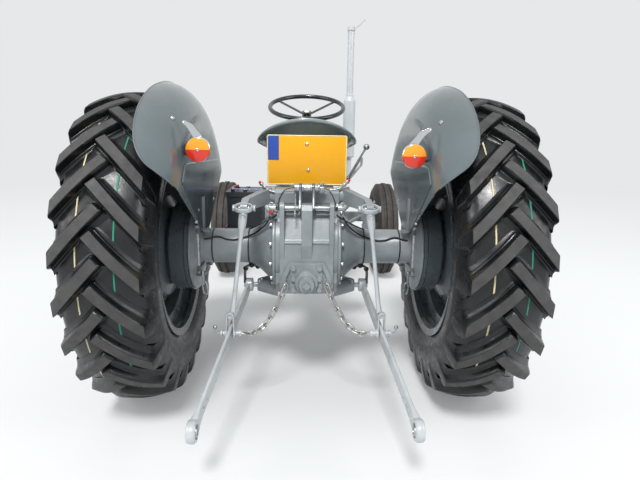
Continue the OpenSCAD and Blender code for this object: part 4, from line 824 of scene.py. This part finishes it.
def rear_lamps():
    """Both lamps, each on its tongue from the mudguard's plate, with its cable."""
    groups = []
    body = [(0.1, -6), (26, -6), (34, -2), (38, 8), (39, 26), (43, 28), (43.5, 37), (42, 44), (40.5, 45.5),
            (39, 43), (0.1, 42)]
    y, far = -320, GUARD_X - 0.3
    for sx, x, z in ((-1, -374, 1041), (1, 368, 1028)):
        groups += [(dome((x, y, z), BACK, body), CHROME), (lamp_lens(x, y, z, 0, 180), AMBER),
                   (lamp_lens(x, y, z, 180, 360), RED)]
        groups.append((dome((x, y - 54.5, z), BACK, [(5.2, -3), (5.2, 1.2), (3.6, 2.2), (0.1, 2.4)]), CHROME))
        groups.append((box((x - 3.6, y - 57.4, z - 0.6), (x + 3.6, y - 56.6, z + 0.6)), BLACK_PLASTIC))
        near = abs(x)
        strap = [(near - 12, z + 32), (near + 14, z + 32), (near + 22, z + 46), (near + 33, z + 64),
                 (far - 8, z + 80), (far, z + 84), (far, z + 98), (far - 6, z + 97), (near + 22, z + 84),
                 (near + 9, z + 66), (near - 4, z + 52), (near - 11, z + 42)]
        groups.append((rear_plate([(sx * px, pz) for px, pz in strap], y - 18, 6), CHROME))
        rivet = [(0.1, 4), (4, 3.4), (7, 0), (7, -1)]
        groups.append((dome((sx * far, y - 14, z + 90), (-sx, 0, 0), rivet, 20), CHROME))
        groups.append((rod((x + sx * 20, y + 4, z), (sx * far, y + 30, z - 20), 5), CABLE))
    make("rear_lamps_dressed", groups, "chassis", smooth_angle=30, replaces=["rear_lamps"])


rear_lamps()


# Blank plate: yellow film in a pale embossed border, a blue field, and two domed fasteners

def number_plate():
    """The plate with its embossed border, two fasteners and the bracket behind it."""
    y = 46
    groups = [(rear_plate(rounded_rect((-170, 882), (170, 1092), 9), y + 1.4, 1.6), PLATE_EDGE),
              (rear_plate(rounded_rect((-164.5, 887.5), (164.5, 1086.5), 6), y + 1.0, 1.2), PLATE),
              (rear_plate(rounded_rect((-166, 986), (-119, 1088), 4), y + 0.7, 1.2), PLATE_BLUE)]
    rim = [Vector((x, y + 1.0, z)) for x, z in rounded_rect((-167.5, 884.5), (167.5, 1089.5), 8)]
    groups.append((sweep(rim, 1.9, 8, closed=True), PLATE_EDGE))
    screw = [(7.5, 0), (7.2, 2.4), (5.5, 4.4), (3, 5.6), (0.1, 6)]
    groups += [(dome((x, y + 1, z), BACK, screw), CHROME) for x, z in ((-1, 1055), (5, 946))]
    groups += [(box((-24, 49.2, 900), (24, 91.7, 928)), PRESSING),
               (box((-14, 48.4, 930), (14, 51.5, 1075)), PRESSING)]
    make("number_plate_dressed", groups, "chassis", bevel_mm=0.3, replaces=["number_plate"])


number_plate()


# Seat: a pressed pan with a high back and a rolled rim, on its bent flat bar

# The pan's middle and half size as (x, y), its lowest and highest points, the rim's rise at side and front
SEAT_MID, SEAT_HALF, SEAT_FLOOR, SEAT_TOP, SIDE_RISE, FRONT_RISE = (0, 292), (219, 190), 986, 1158, 76, 14
# From the pan's middle over the rolled rim and back below: (share of the rim's size, mm out, mm up)
SEAT_RINGS = [(0.12, 0, 0), (0.25, 0, 0), (0.4, 0, 0), (0.55, 0, 0), (0.68, 0, 0), (0.79, 0, 0),
              (0.88, 0, 0), (0.95, 0, 0), (0.99, 0.5, 0.8), (1, 3, 3.4), (1, 7, 5.4), (1, 11, 4.4),
              (1, 13.6, 0.5), (1, 14, -4), (1, 12.6, -9), (1, 9, -12.4), (1, 5.4, -12.8), (1, 2.5, -9.5),
              (0.985, 0, -5.5), (0.95, 0, -3.4), (0.88, 0, -3), (0.68, 0, -3), (0.4, 0, -3), (0.12, 0, -3)]


def rim_rise(a):
    """Height of the rim above the floor at an angle round the pan from its right side."""
    if math.sin(a) < 0:
        return SIDE_RISE + (SEAT_TOP - SEAT_FLOOR - SIDE_RISE) * (-math.sin(a)) ** 1.4
    return SIDE_RISE + (FRONT_RISE - SIDE_RISE) * math.sin(a) ** 1.5


def seat():
    """The pan on its bent flat bar, with the bar's bolts and two rivets."""
    rings = []
    for share, out, up in SEAT_RINGS:
        ring = []
        for i in range(112):
            a = 2 * math.pi * i / 112
            ring.append((SEAT_MID[0] + (SEAT_HALF[0] * share + out) * math.cos(a),
                         SEAT_MID[1] + (SEAT_HALF[1] * share + out) * math.sin(a),
                         SEAT_FLOOR + rim_rise(a) * share ** 3 + up))
        rings.append(ring)
    pan = loft(rings, [(*SEAT_MID, SEAT_FLOOR), (*SEAT_MID, SEAT_FLOOR - 3)])
    bar = [(240, 880.7), (150, 880.7), (112, 888), (96.5, 914), (108, 946), (136, 974), (175, 979.5),
           (330, 979.5)]
    line = smooth_line([(0, y, z) for y, z in bar], 8)
    rings = []
    for i, p in enumerate(line):
        along = (line[min(i + 1, len(line) - 1)] - line[max(i - 1, 0)]).normalized()
        out = Vector((0, -along.z, along.y)) * 4.4
        rings.append([p + out * b + Vector((26 * c, 0, 0)) for b, c in ((-1, -1), (1, -1), (1, 1), (-1, 1))])
    groups = [(pan, PRESSING), (loft(rings), CASTING)]
    groups += hex_bolts([(0, 160, 885), (0, 215, 885)], UP, 19, 9)
    rivet = [(0.1, 4), (6, 3.4), (11, 0), (11, -1)]
    groups += [(dome((0, y, SEAT_FLOOR + 0.6), UP, rivet, 24), STEEL) for y in (250, 310)]
    make("seat_dressed", groups, "chassis", bevel_mm=1.0, smooth_angle=40, replaces=["seat"])


seat()


# Rear linkage: stirrups, tapered rods and slotted forks; links and chains of round wire

# Middles of the arm's eye, the rod's lower pin, the link's front pin, its ball, and the chain's pin
ARM_EYE, ROD_PIN = Vector((237, -229.8, 821.9)), Vector((290.3, -289.7, 344.7))
PIVOT, BALL = Vector((250, 30, 440)), Vector((346, -731.1, 213))
CHAIN_PIN = Vector((82, -194.3, 504))


def lift_rod():
    """Groups of the right lift rod, from the stirrup round the arm's eye to the slotted fork."""
    tilt = math.radians(22)
    up = Vector((0, -math.sin(tilt), math.cos(tilt)))
    back = Vector((0, -math.cos(tilt), -math.sin(tilt)))
    middle = ARM_EYE + back * 21 + up * 13
    stirrup = [middle + RIGHT * x + back * (y * 0.75) for x, y in arc(32, 0, 351, 39)]
    groups = [(band(stirrup, 6, 18, up, closed=True), FORGING)]
    groups += [(rod(ARM_EYE - RIGHT * 43, ARM_EYE + RIGHT * 43, 9), STEEL)]
    groups += [(rod(ARM_EYE + RIGHT * x, ARM_EYE + RIGHT * (x + 9), 12), FORGING) for x in (-43, 34)]
    top = ARM_EYE + back * 33 - UP * 4
    low = ROD_PIN + (top - ROD_PIN).normalized() * 92
    way = (low - top).normalized()
    long = (low - top).length
    shank = [(0.1, -16), (9, -15), (14, -9), (16, 4), (16.2, 26), (15.2, 42), (12.6, 58), (10, 76), (8, 98),
             (7.6, 120), (8, 150), (8.8, long - 24), (10.5, long - 8), (11.5, long + 6)]
    groups.append((dome(top, way, shank), FORGING))
    nipple = [(10, 0), (10, 4), (8, 6), (6, 6), (5, 4.4), (0.1, 4.2)]
    groups.append((dome(top + Vector((0, -12, -6)), BACK, nipple), STEEL))
    fork = [ROD_PIN + Vector((x, 0, z)) for x, z in [(14, -4), (13, 20), (12.5, 50), (12.5, 62)]]
    fork += [ROD_PIN + Vector((x, 0, z + 70)) for x, z in arc(12.5, 0, 180, 12)]
    fork += [ROD_PIN + Vector((-x, 0, z)) for x, z in [(12.5, 62), (12.5, 50), (13, 20), (14, -4)]]
    groups.append((band(fork, 7, 28, -BACK), FORGING))
    groups.append((box(ROD_PIN + Vector((-9, -9, 62)), ROD_PIN + Vector((9, 9, 84))), FORGING))
    pins = ((10.5, 19, 17), (-19, -10.5, 17), (19, 40, 9), (-45, -19, 9), (30, 36, 13), (-40, -33, 14))
    for start, end, r in pins:
        groups.append((rod(ROD_PIN + RIGHT * start, ROD_PIN + RIGHT * end, r, 28), FORGING))
    clip = [ROD_PIN + Vector(v) for v in ((38, 0, 0), (48, -4, 3), (55, -8, 12), (57, -8, 24))]
    groups.append((sweep(smooth_line(clip, 4), 2.6, 8), STEEL))
    groups.append((ball(ROD_PIN + Vector((57, -8, 28)), 8), STEEL))
    return groups


def lower_link():
    """Groups of the right lower link: a rolled flat bar with a forged eye round each ball."""
    way = (BALL - PIVOT).normalized()
    rings = []
    bar = ((0, 13, 40), (0.04, 14, 52), (0.12, 14, 56), (0.85, 14, 51), (0.94, 15, 50), (1, 24, 52))
    for share, wide, high in bar:
        p = PIVOT + way * (24 + share * ((BALL - PIVOT).length - 51))
        up = RIGHT.cross(way).normalized()
        across = way.cross(up).normalized()
        corners = [(-1, -0.86), (-0.6, -1), (0.6, -1), (1, -0.86), (1, 0.86), (0.6, 1), (-0.6, 1), (-1, 0.86)]
        rings.append([p + across * (a * wide / 2) + up * (b * high / 2) for a, b in corners])
    groups = [(loft(rings), FORGING)]
    eye = [(22.8, -14), (31, -14.5), (34.5, -11), (36, -4), (36, 4), (34.5, 11), (31, 14.5), (22.8, 14)]
    groups.append((collar(BALL, eye, 48), FORGING))
    bored = [(11.2, -17.5), (13.4, -17.5)]
    bored += [(22 * math.sin(math.radians(a)), -22 * math.cos(math.radians(a))) for a in range(40, 141, 10)]
    bored += [(13.4, 17.5), (11.2, 17.5)]
    groups.append((collar(BALL, bored), STEEL))
    pivot_eye = [(11.4, -16), (27, -16), (30, -12), (30, 12), (27, 16), (11.4, 16)]
    groups.append((collar(PIVOT, pivot_eye), FORGING))
    for out in (RIGHT, -RIGHT):
        groups += [(head(BALL - way * d + out * 8.2, out, 4.5, 2.5), STEEL) for d in (95, 130)]
    return groups


def check_chain():
    """Groups of the right check chain: eight oval links along the line in which it hangs."""
    count, sag, wire = 8, 66, 7
    to = ROD_PIN - RIGHT * 45
    first = to - CHAIN_PIN - UP * (4 * sag * (1 - 1 / count))
    start = CHAIN_PIN - first.normalized() * (wire * 0.85 - 1.5)
    hang = [start + (to - start) * t - UP * (4 * sag * t * (1 - t))
            for t in (i / count for i in range(count + 1))]
    groups = []
    eye = wire * 1.35
    for i, (a, b) in enumerate(zip(hang, hang[1:])):
        d = b - a
        pose = (Matrix.Translation((a + b) / 2) @ Matrix.Rotation(math.atan2(d.y, d.x), 4, "Z")
                @ Matrix.Rotation(-math.asin(d.z / d.length), 4, "Y")
                @ Matrix.Rotation(math.radians(90 * ((i + 1) % 2)), 4, "X"))
        groups.append((link(d.length + 3 + wire - 2 * eye, eye, wire, pose), CHAIN_STEEL))
    return groups


def rear_linkage():
    """The linkage of both sides, in place of the plain solids."""
    for side in SIDES:
        make("lift_rod_dressed_" + side, on_side(side, lift_rod()), "lift_rod_" + side, 0.6,
             replaces=["lift_rod_" + side])
        make("lower_link_dressed_" + side, on_side(side, lower_link()), "lower_link_" + side, 0.8,
             replaces=["lower_link_" + side])
    make("check_chains_dressed", both_sides(check_chain()), "chassis", smooth_angle=60,
         replaces=["check_chains"])


rear_linkage()


# Axle tubes with their bolts, clamp plates, studs and shackles, and the wiring tied along them

# The tube's radius, the clamp's distance out, and the studs' distance before and behind the axle
TUBE_R, CLAMP_X, STUD_Y = 73, 445, 87
# The wiring's way in: (distance from the middle, degrees back from the tube's top)
WIRING = [(424, 58), (404, 56), (384, 50), (360, 50), (335, 57), (305, 60), (288, 58), (276, 56), (264, 53),
          (250, 50), (240, 49), (230, 48), (208, 46), (186, 44), (166, 40), (148, 34)]

# The bell's flange, and its cone: (distance from the middle, radius)
FLANGE_R = 168
BELL = [(139.3, 147), (150, 141), (165, 128), (180, 113), (195, 99), (210, 87.5), (222, 80), (234, 76),
        (246, 74.5), (264, TUBE_R)]


def bell_surface(x):
    """Radius of the casting at a distance out from the middle."""
    if x < BELL[0][0]:
        return FLANGE_R
    for (x0, r0), (x1, r1) in zip(BELL, BELL[1:]):
        if x < x1:
            return r0 + (r1 - r0) * (x - x0) / (x1 - x0)
    return TUBE_R


def axle_tube():
    """Groups of the right axle tube: bolted flange, conical bell, tube, backing plate and link boss."""
    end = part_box("axle_tubes")[1].x / MM
    skin = [(30, 125.3), (FLANGE_R - 3, 125.3), (FLANGE_R, 128), (FLANGE_R, 136.5), (FLANGE_R - 3, 139.3)]
    skin += [(r, x) for x, r in BELL]
    skin += [(TUBE_R, end - 34), (76, end - 29), (91, end - 22), (180, end - 9), (184, end - 7), (184, end),
             (30, end)]
    body = collar((0, 0, AXLE_Z), skin, 96)
    boss = [(12, 125.3), (52, 125.3), (46, 150), (29, 208), (26, 214), (12, 214)]
    groups = [(body, CASTING),
              (collar((0, PIVOT.y, PIVOT.z), boss), CASTING),
              (rod((126, PIVOT.y, PIVOT.z), (PIVOT.x + 24, PIVOT.y, PIVOT.z), 11, 24), FORGING)]
    for z in (AXLE_Z - TUBE_R - 16, AXLE_Z + TUBE_R - 4):
        clamp = box((CLAMP_X - 13, -STUD_Y - 14, z), (CLAMP_X + 13, STUD_Y + 14, z + 20))
        groups.append((clamp, DARK_ENAMEL_AND_WHEEL_SHADE))
    groups += [(rod((CLAMP_X, y, AXLE_Z - TUBE_R - 30), (CLAMP_X, y, AXLE_Z + TUBE_R + 30), 7), STEEL)
               for y in (-STUD_Y, STUD_Y)]
    return groups + hex_bolts([round_axle(139.3, 157, a) for a in range(15, 375, 30)], RIGHT, 15, 8)


def axle_wiring():
    """Groups of the right stretch of wiring, held by ties round the tube."""
    line = []
    for x, back in WIRING:
        clear = max(bell_surface(x + step) for step in (-14, -7, 0, 7, 14)) + 4.3
        line.append(round_axle(x, clear, back))
    groups = [(sweep(smooth_line(line, 5), 3.5, 12), CABLE)]
    for x, r in ((392, 74.5), (242, 77.5)):
        ring = [Vector((x, r * math.sin(a), AXLE_Z + r * math.cos(a)))
                for a in (math.pi * i / 24 for i in range(48))]
        groups.append((band(ring, 2.2, 5, RIGHT, closed=True), CABLE))
    return groups


def axle_fittings(side):
    """Groups of the bolts, shackles and pins on an axle tube, laid out for the right side."""
    groups = []
    above, below = AXLE_Z + TUBE_R, AXLE_Z - TUBE_R
    for y in (-STUD_Y, STUD_Y):
        groups += hex_bolts([(CLAMP_X, y, above + 16.3)], UP, 24, 13)
        groups += hex_bolts([(CLAMP_X, y, below - 16.3)], -UP, 24, 13)
        foot = box((CLAMP_X - 26, y - 24, below - 34), (CLAMP_X + 26, y + 24, below - 26))
        groups.append((foot, DARK_ENAMEL_AND_WHEEL_SHADE))
    hanger = Vector((CLAMP_X - 20, -106, 513))
    groups.append((rod(hanger + Vector((0, 10, 22)), hanger + Vector((0, -8, 22)), 5), STEEL))
    finish, facing = (FORGING, (1, 0, 0)) if side == "left" else (DARK_ENAMEL_AND_WHEEL_SHADE, (1, -0.3, 0))
    groups.append((link(38, 9.5, 8, aim(hanger, facing) @ Matrix.Rotation(math.radians(90), 4, "Z")), finish))
    lower = hanger + Vector((-6, 0, -46))
    pose = aim(lower, (0.3, -1, 0.05)) @ Matrix.Rotation(math.radians(80), 4, "Z")
    groups.append((link(32, 10, 8, pose), finish))
    for out, back, down in ((196, -58, 470), (205, -20, 462)):
        place, normal = touch("axle_tubes", (out, back - 300, down), (0, 1, 0))
        groups.append((head(place, normal, 8.5, 6), STEEL))
    # A hose from under the bell to the link's front pin, with three round caps on it
    knobs = [Vector(v) for v in ((209, -6, 533), (235, -10, 541), (262, -6, 524))]
    groups += [(ball(place, r, 10, 20), BLACK_PLASTIC) for place, r in zip(knobs, (11, 12, 11))]
    line = knobs + [PIVOT + RIGHT * 20 + UP * 6]
    groups.append((sweep(smooth_line(line, 4), 6, 10), BLACK_PLASTIC))
    return groups


def axle_pieces():
    """The tubes and wiring in place of the plain solids, and the fittings as one piece."""
    wiring = both_sides(axle_wiring())
    make("axle_tubes_dressed", both_sides(axle_tube()), "chassis", 1.0, replaces=["axle_tubes"])
    make("axle_wiring_dressed", wiring, "chassis", smooth_angle=60, replaces=["axle_wiring"])
    fittings = [group for side in SIDES for group in on_side(side, axle_fittings(side))]
    make("axle_fittings", fittings, "chassis", 0.5)


axle_pieces()


# Small things round the lift cover and the battery

# Axes of the top link's rocker and of the cross pin under it, as (y, z)
ROCKER, CROSS_PIN = (-90, 884), (-148, 812)


def coupler(place, lean):
    """A bright valve on a bent pipe, with a red cap."""
    base = Vector(place)
    out = Vector((lean, -0.25, 1)).normalized()
    bends = [base + Vector((-lean * 60, 0, -22)), base + Vector((-lean * 30, 0, -20)), base - out * 14, base]
    valve = [(5.5, -6), (8.5, -5), (8.5, 3), (6.5, 5), (6.5, 12), (9, 13), (9, 20), (6, 22), (5, 22)]
    cap = [(5.5, 21), (6, 22), (6, 28), (4, 30.5), (0.1, 31)]
    pipe = sweep(smooth_line(bends, 5), 4.5, 10)
    return [(pipe, STEEL), (dome(base, out, valve), STEEL), (dome(base, out, cap), RED_CAP)]


def ring_pin(place):
    """A linch pin with its spring ring hanging from the end of a cross pin."""
    p = Vector(place)
    groups = [(rod(p + UP * 16, p - UP * 18, 3.4, 12), STEEL), (ball(p + UP * 17, 6), STEEL)]
    path = [Vector((p.x + x, p.y - 5, p.z + 8 + z)) for x, z in arc(14, 60, 405, 30)]
    return groups + [(sweep(path, 1.6, 8), STEEL)]


def hydraulic_fittings():
    """Couplers, test valve, pins, thin cords, tied cables and cover bolts round the lift cover."""
    groups = coupler((-174, -50, 884), -1) + coupler((154, -50, 896), 1)
    groups += [(rod((-144, -84, 786), (-144, -40, 786), 7), STEEL),
               (rod((-122, -62, 786), (-150, -62, 786), 5), STEEL)]
    groups.append((dome((-144, -84, 786), BACK, [(9, 0), (10, 2), (10, 9), (7, 12), (0.1, 12.5)]), RED_CAP))
    for place in ((-137, *CROSS_PIN), (141, *CROSS_PIN), (62, *ROCKER)):
        groups += ring_pin(place)
    cords = [[(-44, -96, 870), (-46, -118, 846), (-48, -160, 800), (-47, -176, 776), (-46, -168, 800),
              (-44, -110, 850)],
             [(-52, -70, 884), (-90, -64, 872), (-112, -66, 838), (-118, -66, 812)],
             [(66, -66, 884), (96, -64, 866), (114, -66, 830), (120, -66, 810)]]
    for line, material in zip(cords, (STEEL, CABLE, CABLE)):
        groups.append((sweep(smooth_line(line, 6), 1.8, 8), material))
    for s, far in ((-1, -231), (1, 236)):
        cable = [(s * 124, -78, 772), (s * 150, -120, 760), (s * 190, -112, 738), (far, -84, 714)]
        groups.append((sweep(smooth_line(cable, 6), 3, 8), CABLE))
    groups += hex_bolts([(-102, -44, 832), (102, -44, 832)], UP, 19, 9)
    groups += hex_bolts([touch("pto_cap", (x, -400, 500), (0, 1, 0))[0] for x in (-84, 84)], BACK, 19, 9)
    for s in (-1, 1):
        groups.append((rod((s * 82, -10, 845), (s * 97, -10, 845), 25.5, 40), DARK_ENAMEL_AND_WHEEL_SHADE))
    make("hydraulic_fittings", groups, "chassis", 0.4)


def battery_fittings():
    """The battery's terminals, leads and blank label."""
    low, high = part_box("battery")
    x0, x1, y0, top = low.x / MM, high.x / MM, (low.y - REAR_Y) / MM, high.z / MM
    groups = []
    for x, material in ((x0 + 38, RED_CAP), (x1 - 38, BLACK_PLASTIC)):
        groups.append((dome((x, y0 + 40, top), UP, [(0.1, 6), (9, 5), (10, 2), (10, -8)], 20), STEEL))
        lead = [(x, y0 + 40, top + 2), (x, y0 + 70, top + 5), (x + 12, y0 + 120, top + 2),
                (x + 20, y0 + 150, top - 12)]
        groups.append((sweep(smooth_line(lead, 6), 6, 10), material))
    groups.append((box((x0 + 30, y0 + 8, top - 1), (x1 - 55, y0 + 34, top + 1)), LABEL))
    make("battery_fittings", groups, "chassis", 0.6)


def top_link_yoke():
    """The rocker that takes the top link: dark side plates, bright sleeve and collars, cross pins."""
    groups = []
    for s in (-1, 1):
        plate = arc(14, 180, 360, 10, CROSS_PIN) + arc(20, 0, 180, 12, ROCKER)
        groups.append((side_plate(plate, 22 if s > 0 else -32, 10), DARK_ENAMEL_AND_WHEEL_SHADE))
        groups.append((rod((s * 32, *CROSS_PIN), (s * 100, *CROSS_PIN), 8.5), STEEL))
        groups.append((rod((s * 122, *CROSS_PIN), (s * 148, *CROSS_PIN), 11), STEEL))
        groups.append((rod((s * 32, -136, 793), (s * 100, -136, 793), 6), DARK_ENAMEL_AND_WHEEL_SHADE))
    sleeve = [(9, -48), (17, -48), (17, 48), (9, 48)]
    groups.append((collar((0, *ROCKER), sleeve), STEEL))
    for x in (-52, -22, 12, 43):
        ring = [(17, x), (20.5, x + 1.5), (20.5, x + 7.5), (17, x + 9)]
        groups.append((collar((0, *ROCKER), ring), STEEL))
    groups.append((rod((40, *ROCKER), (70, *ROCKER), 8), STEEL))
    make("top_link_yoke_dressed", groups, "chassis", 0.8, replaces=["top_link_yoke"])


def steering_button():
    """The ivory button on the steering wheel's hub."""
    tilt = math.radians(20)
    out = Vector((0, -math.sin(tilt), math.cos(tilt)))
    place, _ = touch("steering_wheel", Vector((0, 780, 1240)) + out * 200, -out)
    button = [(15.5, -1), (15.5, 2), (13, 4.5), (7, 6), (0.1, 6.5)]
    make("steering_button", [(dome(place, out, button), IVORY)], "steering_wheel",
         smooth_angle=50)


def wheel_nuts():
    """Nuts on the dished discs, over the studs, on each wheel's outer face."""
    for side in SIDES:
        s = 1 if side == "right" else -1
        for kind, count, r, across in (("rear", 8, 121, 27), ("front", 5, 85, 22)):
            low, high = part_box(kind + "_wheel_" + side)
            y, z = ((low.y + high.y) / 2 - REAR_Y) / MM, (low.z + high.z) / 2 / MM
            groups = []
            for k in range(count):
                a = 2 * math.pi * (k + 0.5) / count
                start = (s * 1000, y + r * math.sin(a), z + r * math.cos(a))
                place, _ = touch(kind + "_wheel_" + side, start, (-s, 0, 0))
                groups += hex_bolts([place], (s, 0, 0), across, 14)
            make(kind + "_wheel_nuts_" + side, groups, kind + "_wheel_" + side, 0.5)


hydraulic_fittings()
steering_button()
top_link_yoke()
battery_fittings()
wheel_nuts()
